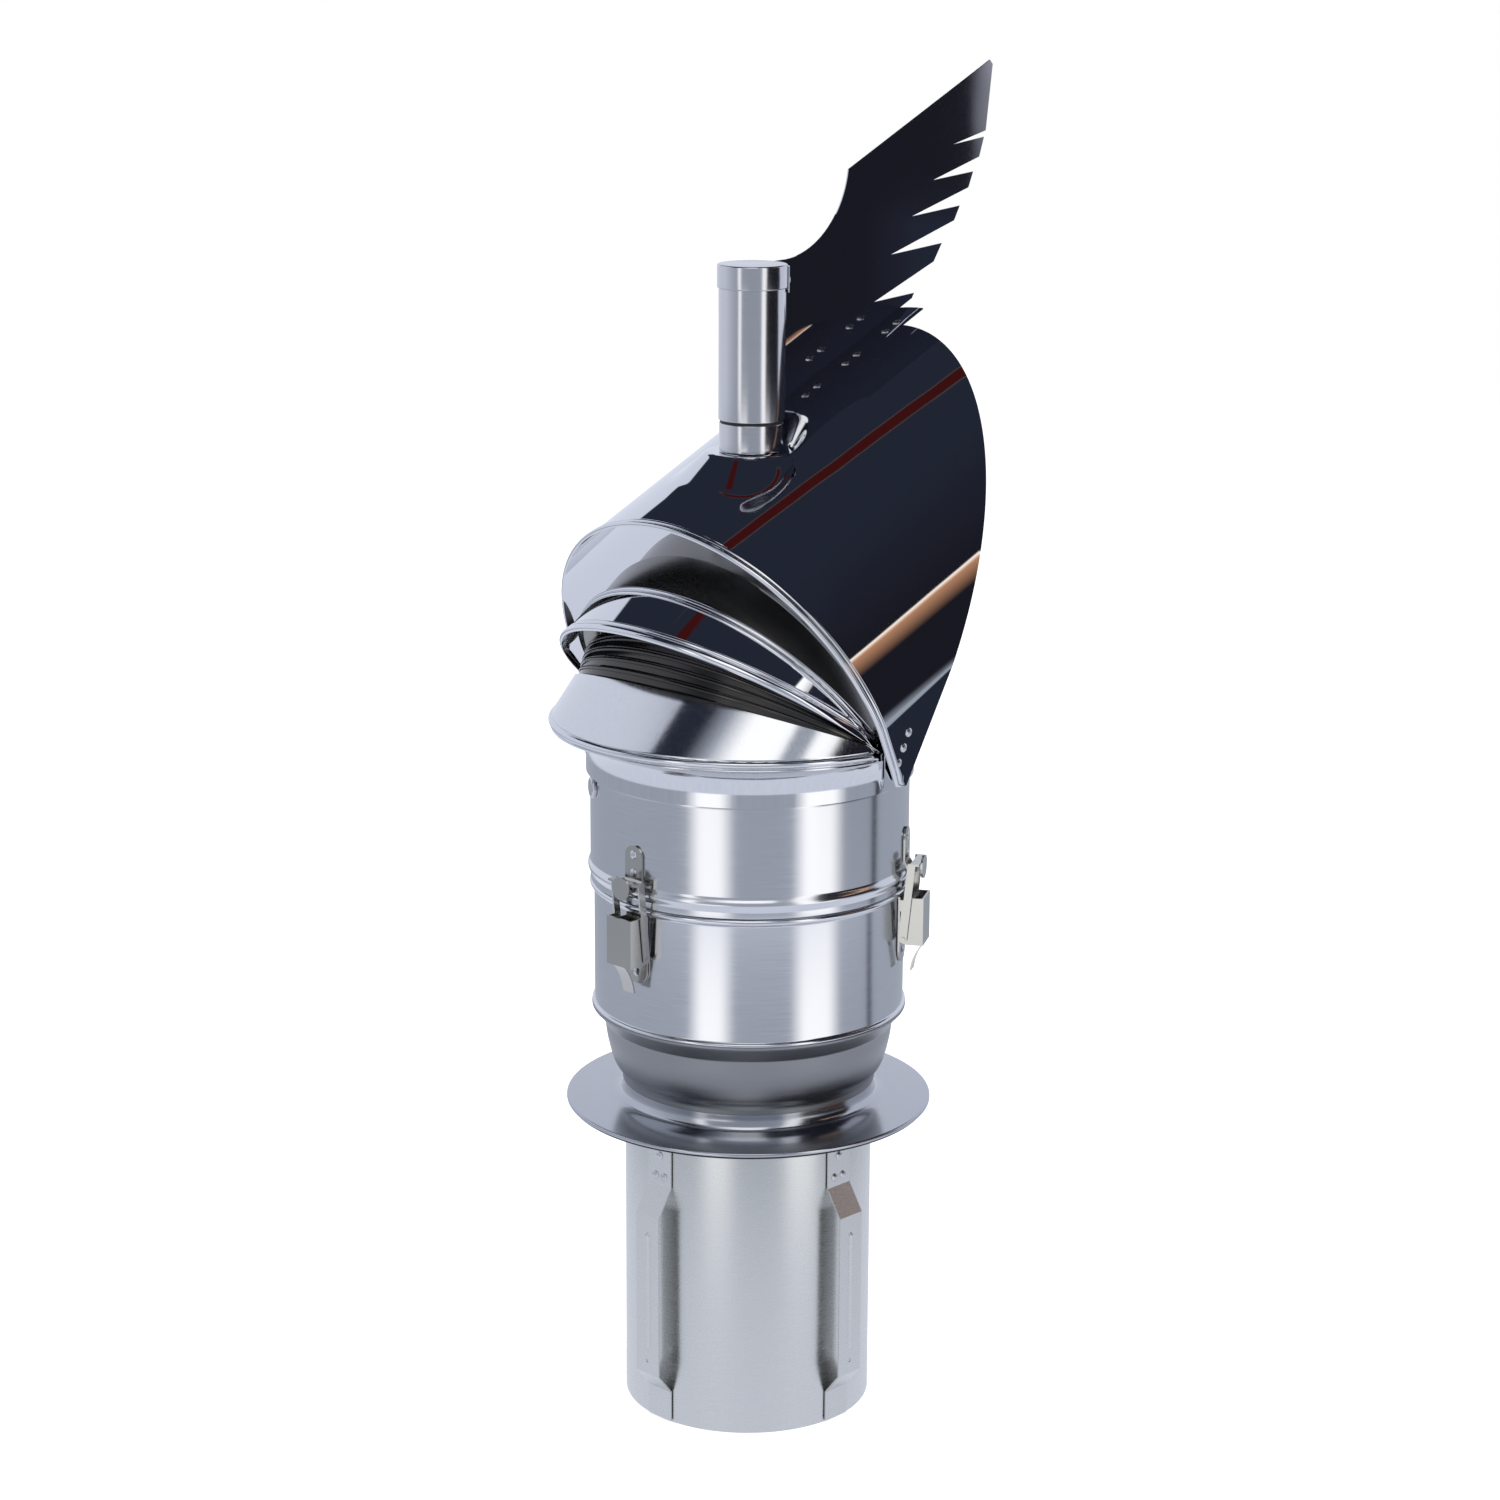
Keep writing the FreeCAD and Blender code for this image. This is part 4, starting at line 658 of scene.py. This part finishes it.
class COWL_OT_hood(bpy.types.Operator):
    """Hood: a tilted tube between lip and outlet planes, its sides leaning in, with the collar's pad"""
    bl_idname = "cowl.hood"
    bl_label = "Hood"

    def execute(self, context):
        sizes = context.scene.cowl_sizes
        t, radius = sizes.sheet / MM, sizes.hood / MM
        way, up = tilted(HOOD_SLOPE)
        origin = np.array([0, 0, HOOD_AXIS_Z])
        quarter = radius * math.pi / 2
        drop = 44.86
        half = quarter + drop
        run = spread((-half, -62, 78), (-62, 62, 104), (62, half, 78))[:, None]
        # Arc length s round the section: side = R sin(s/R), rise = R cos(s/R), then straight and leaning in
        beyond = np.clip(np.abs(run) - quarter, 0, None)
        angle = np.clip(run, -quarter, quarter) / radius
        ear_foot = 406.0
        ears = ((-3.5, ear_foot), (5.5, ear_foot))
        tops = ((-81.0, 551.0), (131.5, 648.0))

        def section(r):
            side = r * np.sin(angle) - np.sign(run) * beyond * math.tan(HOOD_LEAN)
            return side, r * np.cos(angle) - beyond

        def meet(rise, ear, top):
            """Run along the axis at which a generator meets the plane of the ear, the top and all of Y."""
            across = np.array([-(top[1] - ear[1]), top[0] - ear[0]])
            start = np.stack([origin[0] + up[0] * rise, origin[2] + up[2] * rise], -1)
            return (np.array(ear) - start) @ across / (np.array([way[0], way[2]]) @ across)

        _, rise = section(radius)
        low, high = (meet(rise, ear, top) for ear, top in zip(ears, tops))
        foot = (ear_foot - origin[2] - up[2] * rise) / way[2]
        low = np.minimum(np.maximum(low, np.where(beyond > 0, foot, -1e9)), high)
        width = high - low
        lip = np.minimum(9.0, width * 0.5)
        share = spread((0, 1, 30))[None, :]
        rest = spread((0.0, 0.14, 8), (0.14, 0.56, 64), (0.56, 1.0, 26))[None, 1:]
        rows = np.concatenate([low + lip * share, low + lip + (width - lip) * rest], 1)
        swell = (roll(rows - low, 1.5, 1.5, 1.5) + roll(rows - low, 5.0, 1.4, 1.1)) * ease(width, 8.0, 34.0)
        skins = []
        for sink in (0.0, t):
            side, rise = section(radius - sink + (swell if sink == 0.0 else 0.0))
            rise, side = rise + 0 * rows, side + 0 * rows
            points = on_tube(origin, HOOD_SLOPE, rows, rise, side)
            # The pad: a level disc with a skirt of 42 degrees down to the sheet and a dish of 58 above it
            out = np.hypot(points[..., 0], points[..., 1]) - 26.0
            level = 587.0 - sink
            raised = level - np.clip(out, 0, None) * math.tan(math.radians(42.0))
            sunk = level + np.clip(out, 0, None) * math.tan(math.radians(58.0))
            crown = np.abs(np.broadcast_to(run, out.shape)) < 110
            height = -soft_least(-points[..., 2], -raised, 2.4)
            height = soft_least(height, sunk, 2.4)
            near = 1 - ease(out, 34.0, 46.0)
            points[..., 2] += np.where(crown, (height - points[..., 2]) * near, 0.0)
            skins.append(points)
        piece("hood_sheet", *drilled(*shell(*skins), BORE), "head", FINISHES["polished"], "polished_sheet",
              ["hood"])
        return {"FINISHED"}


class COWL_OT_rivets(bpy.types.Operator):
    """Domed heads of every rivet"""
    bl_idname = "cowl.rivets"
    bl_label = "Rivets"

    def execute(self, context):
        head = context.scene.cowl_sizes.rivet / MM
        height = 0.9
        # A domed cap: height 0.3 h + 0.7 h (1 - (r/R)^2.6) over the radius, on a short upright edge
        share = np.array([0.0, 0.25, 0.5, 0.7, 0.85, 0.95, 1.0, 1.0])
        level = np.concatenate([0.3 * height + 0.7 * height * (1 - share[:-1] ** 2.6), [0.0]])
        turn = np.linspace(0, 2 * np.pi, 28, endpoint=False)
        r = np.append(share * head, 0.0)
        level = np.append(level, 0.0)
        cap = np.stack([r[:, None] * np.cos(turn), r[:, None] * np.sin(turn), level[:, None] + 0 * turn],
                       -1)
        faces = grid_faces(len(r), len(turn), False, True)

        def radial(angle):
            return np.array([math.cos(math.radians(angle)), math.sin(math.radians(angle)), 0.0])

        def heads(name, body, places, node):
            parts = []
            for place, outward in places:
                outward = np.asarray(outward, float) / np.linalg.norm(outward)
                helper = np.array([0, 0, 1.0]) if abs(outward[2]) < 0.9 else np.array([1.0, 0, 0])
                first = np.cross(helper, outward)
                first /= np.linalg.norm(first)
                second = np.cross(outward, first)
                spot = cap @ np.stack([first, second, outward]) + np.asarray(place)
                parts.append((spot.reshape(-1, 3), faces))
            piece(name, *joined(parts), body, FINISHES["plain"], "rivet_steel", [node], 50.0)

        side_way = np.array([0, 0, 1.0])
        spring = []
        for angle in (180.0, 270.0, 0.0, 90.0):
            for z, side in ((170.0, 0.0), (157.0, 3.6), (157.0, -3.6)):
                out = radial(angle)
                spring.append((out * 75.82 + np.cross(side_way, out) * side + side_way * z, out))
        heads("spring_rivet_heads", "base", spring, "spring_rivets")
        for name, radius, levels, node in (("plate_rivet_heads", 94.42, (289.5, 306.0), "latch_plate_rivets"),
                                           ("keeper_rivet_heads", 96.62, (361.0, 350.0), "keeper_rivets")):
            heads(name, "base", [(radial(a) * radius + side_way * z, radial(a)) for a in (180.0, -60.0, 60.0)
                                 for z in levels], node)
        way, up = tilted(HOOD_SLOPE)
        hood = 123.5
        ears = []
        for side in (1, -1):
            for x, z in ((3.8, 438.0), (0.2, 429.5), (-3.4, 421.0)):
                depth = math.cos(HOOD_SLOPE) * (HOOD_AXIS_Z - z) + math.sin(HOOD_SLOPE) * x
                face = hood - math.tan(HOOD_LEAN) * depth + 0.02
                outward = np.array([0, side, 0]) * math.cos(HOOD_LEAN) - up * math.sin(HOOD_LEAN)
                ears.append(((x, side * face, z), outward))
        heads("ear_rivet_heads", "head", ears, "ear_rivets")
        tip = math.asin(6.0 / (hood + 0.02))
        out = np.array([0, 1, 0]) * math.sin(tip) + up * math.cos(tip)
        foot = [(np.array([0, 0, HOOD_AXIS_Z]) + way * (pair + step) + out * (hood + 0.84), out)
                for pair in (114.0, 152.0, 191.0) for step in (0.0, 11.0)]
        heads("fin_rivet_heads", "head", foot, "fin_rivets")
        out = radial(-33.0)
        heads("cap_rivet_head", "head", [(out * 21.52 + side_way * 685.5, out)], "cap_rivet")
        return {"FINISHED"}


# Stage

class COWL_OT_stage(bpy.types.Operator):
    """Floor, camera, lamps, white surround and the reflection tent that the polished metal sees"""
    bl_idname = "cowl.stage"
    bl_label = "Stage"

    def execute(self, context):
        scene = context.scene
        scene.view_settings.view_transform = "Standard"
        azimuth, pitch, tip = (math.radians(v) for v in (VIEW_AZIMUTH, 14.12, 0.29))
        camera = bpy.data.cameras.new("camera")
        camera.lens = 81.3
        camera.sensor_width = 36.0
        eye = bpy.data.objects.new("camera", camera)
        place = Vector((math.sin(azimuth) * 1.958, -math.cos(azimuth) * 1.958, 0.899))
        eye.matrix_world = (Matrix.Translation(place) @ Matrix.Rotation(azimuth, 4, "Z")
                            @ Matrix.Rotation(math.pi / 2 - pitch, 4, "X") @ Matrix.Rotation(tip, 4, "Z"))
        scene.collection.objects.link(eye)
        scene.camera = eye
        self.floor(context)
        self.tent(context)
        for name, spot, size, power in (("key", (-1.3, -1.7, 2.3), 1.6, 26.0),
                                        ("fill", (1.9, -1.5, 1.6), 1.8, 16.0),
                                        ("back", (0.6, 2.2, 2.2), 1.8, 14.0)):
            lamp = bpy.data.lights.new(name, "AREA")
            lamp.size = size
            lamp.energy = power
            holder = bpy.data.objects.new(name, lamp)
            holder.location = spot
            holder.rotation_euler = (Vector((0, 0, 0.35)) - Vector(spot)).to_track_quat("-Z", "Y").to_euler()
            holder.visible_glossy = False
            scene.collection.objects.link(holder)
        self.surround(scene)
        return {"FINISHED"}

    def surround(self, scene):
        """A white world for the camera and for metal, and an even soft light for everything else."""
        world = bpy.data.worlds.new("surround")
        scene.world = world
        world.use_nodes = True
        tree = world.node_tree
        tree.nodes.clear()
        level = add(tree, "ShaderNodeMapRange", {"To Min": 0.75, "To Max": 1.0}, {"Value": seen_rays(tree)})
        white = add(tree, "ShaderNodeBackground", {"Color": (1, 1, 1, 1)},
                    {"Strength": level.outputs["Result"]})
        out = add(tree, "ShaderNodeOutputWorld")
        tree.links.new(white.outputs["Background"], out.inputs["Surface"])

    def floor(self, context):
        """A level floor under the spigot, lifted to white for the camera, which keeps the cowl's shadow."""
        ring = np.array([[-4, -4, 0], [4, -4, 0], [4, 4, 0], [-4, 4, 0]], float)
        mesh = bpy.data.meshes.new("floor")
        mesh.from_pydata(ring.tolist(), [], [(0, 1, 2, 3)])
        floor = bpy.data.objects.new("floor", mesh)
        context.scene.collection.objects.link(floor)
        material, tree, output = finish("Pale studio floor")
        colour = tuple(context.scene.cowl_colours.floor) + (1.0,)
        matt = add(tree, "ShaderNodeBsdfDiffuse", {"Color": colour})
        lift = add(tree, "ShaderNodeMath", {1: 0.45}, {0: seen_rays(tree)}, operation="MULTIPLY")
        glow = add(tree, "ShaderNodeEmission", {"Color": (1, 1, 1, 1)}, {"Strength": lift.outputs[0]})
        both = add(tree, "ShaderNodeAddShader", feeds={0: matt.outputs[0], 1: glow.outputs[0]})
        tree.links.new(both.outputs[0], output.inputs["Surface"])
        mesh.materials.append(material)
        floor.visible_glossy = False

    def tent(self, context):
        """A round tent, seen only in reflections: a grey room with lamps, a dark ceiling and a red rail."""
        steps, levels, radius = 96, 49, 2.9
        around = np.linspace(0, 2 * np.pi, steps, endpoint=False)[:, None]
        climb = np.linspace(-np.pi / 2, np.pi / 2, levels)[None, :]
        points = radius * np.stack([np.cos(climb) * np.cos(around), np.cos(climb) * np.sin(around),
                                    np.sin(climb) + 0 * around], -1)
        faces = grid_faces(steps, levels, True, False)[:, ::-1]
        mesh = bpy.data.meshes.new("reflection_tent")
        mesh.from_pydata(points.reshape(-1, 3).tolist(), [], faces.tolist())
        tent = bpy.data.objects.new("reflection_tent", mesh)
        context.scene.collection.objects.link(tent)
        tent.location = (0, 0, 0.45)
        tent.rotation_euler = (0, 0, math.radians(VIEW_AZIMUTH))
        mesh.shade_smooth()
        material, tree, output = finish("Reflection tent")
        glow = add(tree, "ShaderNodeEmission", {"Strength": 1.5}, {"Color": self.tent_colour(tree)})
        tree.links.new(glow.outputs[0], output.inputs["Surface"])
        mesh.materials.append(material)
        tent.visible_camera = False
        tent.visible_diffuse = False
        tent.visible_shadow = False
        tent.visible_transmission = False

    def tent_colour(self, tree):
        """The tent's colour by direction: layers of a plain room, each with masks that say where it shows.

        Directions are an azimuth, 0 towards the camera, and an elevation, both in degrees.
        """
        place = add(tree, "ShaderNodeTexCoord").outputs["Object"]
        unit = add(tree, "ShaderNodeVectorMath", feeds={0: place}, operation="NORMALIZE")
        x, y, z = add(tree, "ShaderNodeSeparateXYZ", feeds={0: unit.outputs[0]}).outputs
        toward = add(tree, "ShaderNodeMath", {1: -1.0}, {0: y}, operation="MULTIPLY").outputs[0]
        azimuth = add(tree, "ShaderNodeMath", feeds={0: x, 1: toward}, operation="ARCTAN2").outputs[0]
        turn = add(tree, "ShaderNodeMapRange", {"From Min": -math.pi, "From Max": math.pi},
                   {"Value": azimuth}).outputs["Result"]
        rise = add(tree, "ShaderNodeMath", feeds={0: z}, operation="ARCSINE").outputs[0]
        climb = add(tree, "ShaderNodeMapRange", {"From Min": -math.pi / 2, "From Max": math.pi / 2},
                    {"Value": rise}).outputs["Result"]
        height = add(tree, "ShaderNodeMath", {1: 2 / math.pi}, {0: rise}, operation="MULTIPLY").outputs[0]

        def over_line(points):
            """1 where the elevation is above a line given as (azimuth, elevation) points."""
            line = ramp(tree, turn, 180.0, [(degrees, level / 90.0) for degrees, level in points])
            gap = add(tree, "ShaderNodeMath", feeds={0: height, 1: line}, operation="SUBTRACT").outputs[0]
            return add(tree, "ShaderNodeMath", {1: 90.0}, {0: gap}, operation="MULTIPLY",
                       use_clamp=True).outputs[0]

        flat = {}
        for code in (PALE, STEEL, SLATE, RED):
            node = add(tree, "ShaderNodeRGB")
            node.outputs[0].default_value = linear(code) + (1.0,)
            flat[code] = node.outputs[0]
        # A plain grey room with two upright lamps, one each side of the camera
        wall = ramp(tree, turn, 180.0, [
            (-180, GREY), (-45, GREY), (-35, WHITE), (-20, WHITE), (-10, GREY), (30, GREY), (40, WHITE),
            (60, WHITE), (70, GREY), (180, GREY)])
        # Higher up the lamps are narrower, and a dark curtain hangs to the right
        side = ramp(tree, turn, 180.0, [
            (-180, PALE), (-100, PALE), (-50, GREY), (-45, WHITE), (-40, WHITE), (-35, GREY), (30, GREY),
            (35, WHITE), (45, WHITE), (50, BLACK), (98.6, BLACK), (98.9, PALE), (180, PALE)])
        # A soft lamp high in front and a smaller one to the right, with slate left of them
        front = ramp(tree, turn, 180.0, [
            (-60, SLATE), (-40, GREY), (-15, WHITE), (18, WHITE), (21, GREY), (31, GREY), (35, WHITE),
            (50, WHITE), (54, SLATE)])
        in_front = add(tree, "ShaderNodeMath", feeds={
            0: over_line([(-85, 90), (-84, 28), (53, 28), (54, 90)]),
            1: over_line([(-85, 0), (-84, 66), (20, 66), (24, 46), (32, 46), (34, 41), (53, 41), (54, 0)])},
                       operation="SUBTRACT", use_clamp=True).outputs[0]
        # A warm lamp strip along the dark curtain, with its glow below it
        streak = ramp(tree, climb, 90.0, [
            (-5, BLACK), (10, BLACK), (17.4, COPPER), (17.9, CREAM), (18.4, CREAM), (18.8, BLACK),
            (60, SLATE)])
        # The rail on the ceiling: a straight strip, so it is even in y over z
        strip = add(tree, "ShaderNodeMath", feeds={0: toward, 1: z}, operation="DIVIDE").outputs[0]
        along = add(tree, "ShaderNodeMapRange", {"From Min": -0.5, "From Max": 0.5},
                    {"Value": strip}).outputs["Result"]
        overhead = window(tree, climb, 90.0, 66, 70)
        ceiling_edge = over_line([(-180, 28), (-150, 28), (-141, 33), (-128, 39), (-110, 47), (-96, 53.6),
                                  (-86, 57), (-84, 28), (180, 28)])
        layers = (
            (wall, window(tree, climb, 90.0, -25, -21)),
            (side, window(tree, climb, 90.0, -13, -9)),
            (flat[SLATE], ceiling_edge),
            (front, in_front),
            (streak, window(tree, turn, 180.0, 66, 70, 96.5, 97.3), window(tree, climb, 90.0, -9, -7)),
            (flat[STEEL], window(tree, along, 0.5, -0.226, -0.2255, -0.1545, -0.154), overhead),
            (flat[RED], window(tree, along, 0.5, -0.222, -0.221, -0.159, -0.158), overhead),
            # Dark to the lower right, where the hood's side looks
            (flat[SLATE], window(tree, turn, 180.0, 96.2, 96.8, 101, 102),
             window(tree, climb, 90.0, -23, -22, 0, 1)),
            # A second, short rail that only the middle segment sees
            (flat[RED], window(tree, turn, 180.0, -101, -100, -85, -84),
             window(tree, climb, 90.0, 70, 70.5, 75, 75.5)))
        colour = flat[PALE]
        for tint_socket, share, *more in layers:
            for mask in more:
                share = add(tree, "ShaderNodeMath", feeds={0: share, 1: mask},
                            operation="MULTIPLY").outputs[0]
            colour = add(tree, "ShaderNodeMix", feeds={0: share, 6: colour, 7: tint_socket},
                         data_type="RGBA").outputs[2]
        return colour


class COWL_PT_panel(bpy.types.Panel):
    """Lists the cowl's pieces and sizes"""
    bl_idname = "COWL_PT_panel"
    bl_label = "Rotating chimney cowl"
    bl_space_type = "VIEW_3D"
    bl_region_type = "UI"
    bl_category = "Cowl"

    def draw(self, context):
        for group in (context.scene.cowl_sizes, context.scene.cowl_colours):
            column = self.layout.column()
            for name in group.bl_rna.properties.keys():
                if name not in ("rna_type", "name"):
                    column.prop(group, name)
        for maker in MAKERS:
            self.layout.operator(maker.bl_idname)


MAKERS = (COWL_OT_finishes, COWL_OT_base, COWL_OT_bearing_stack, COWL_OT_lower_visor, COWL_OT_middle_visor,
          COWL_OT_hood, COWL_OT_rivets, COWL_OT_stage)
CLASSES = (CowlSizes, CowlColours) + MAKERS + (COWL_PT_panel,)


def register():
    """Tell Blender about the classes and hang the sizes and colours on the scene."""
    for cls in CLASSES:
        bpy.utils.register_class(cls)
    bpy.types.Scene.cowl_sizes = PointerProperty(type=CowlSizes)
    bpy.types.Scene.cowl_colours = PointerProperty(type=CowlColours)


def unregister():
    """Take everything back."""
    del bpy.types.Scene.cowl_colours
    del bpy.types.Scene.cowl_sizes
    for cls in reversed(CLASSES):
        bpy.utils.unregister_class(cls)


def main():
    """Build every piece and the stage in order."""
    register()
    for maker in MAKERS:
        group, name = maker.bl_idname.split(".")
        getattr(getattr(bpy.ops, group), name)()


if __name__ == "__main__":
    main()
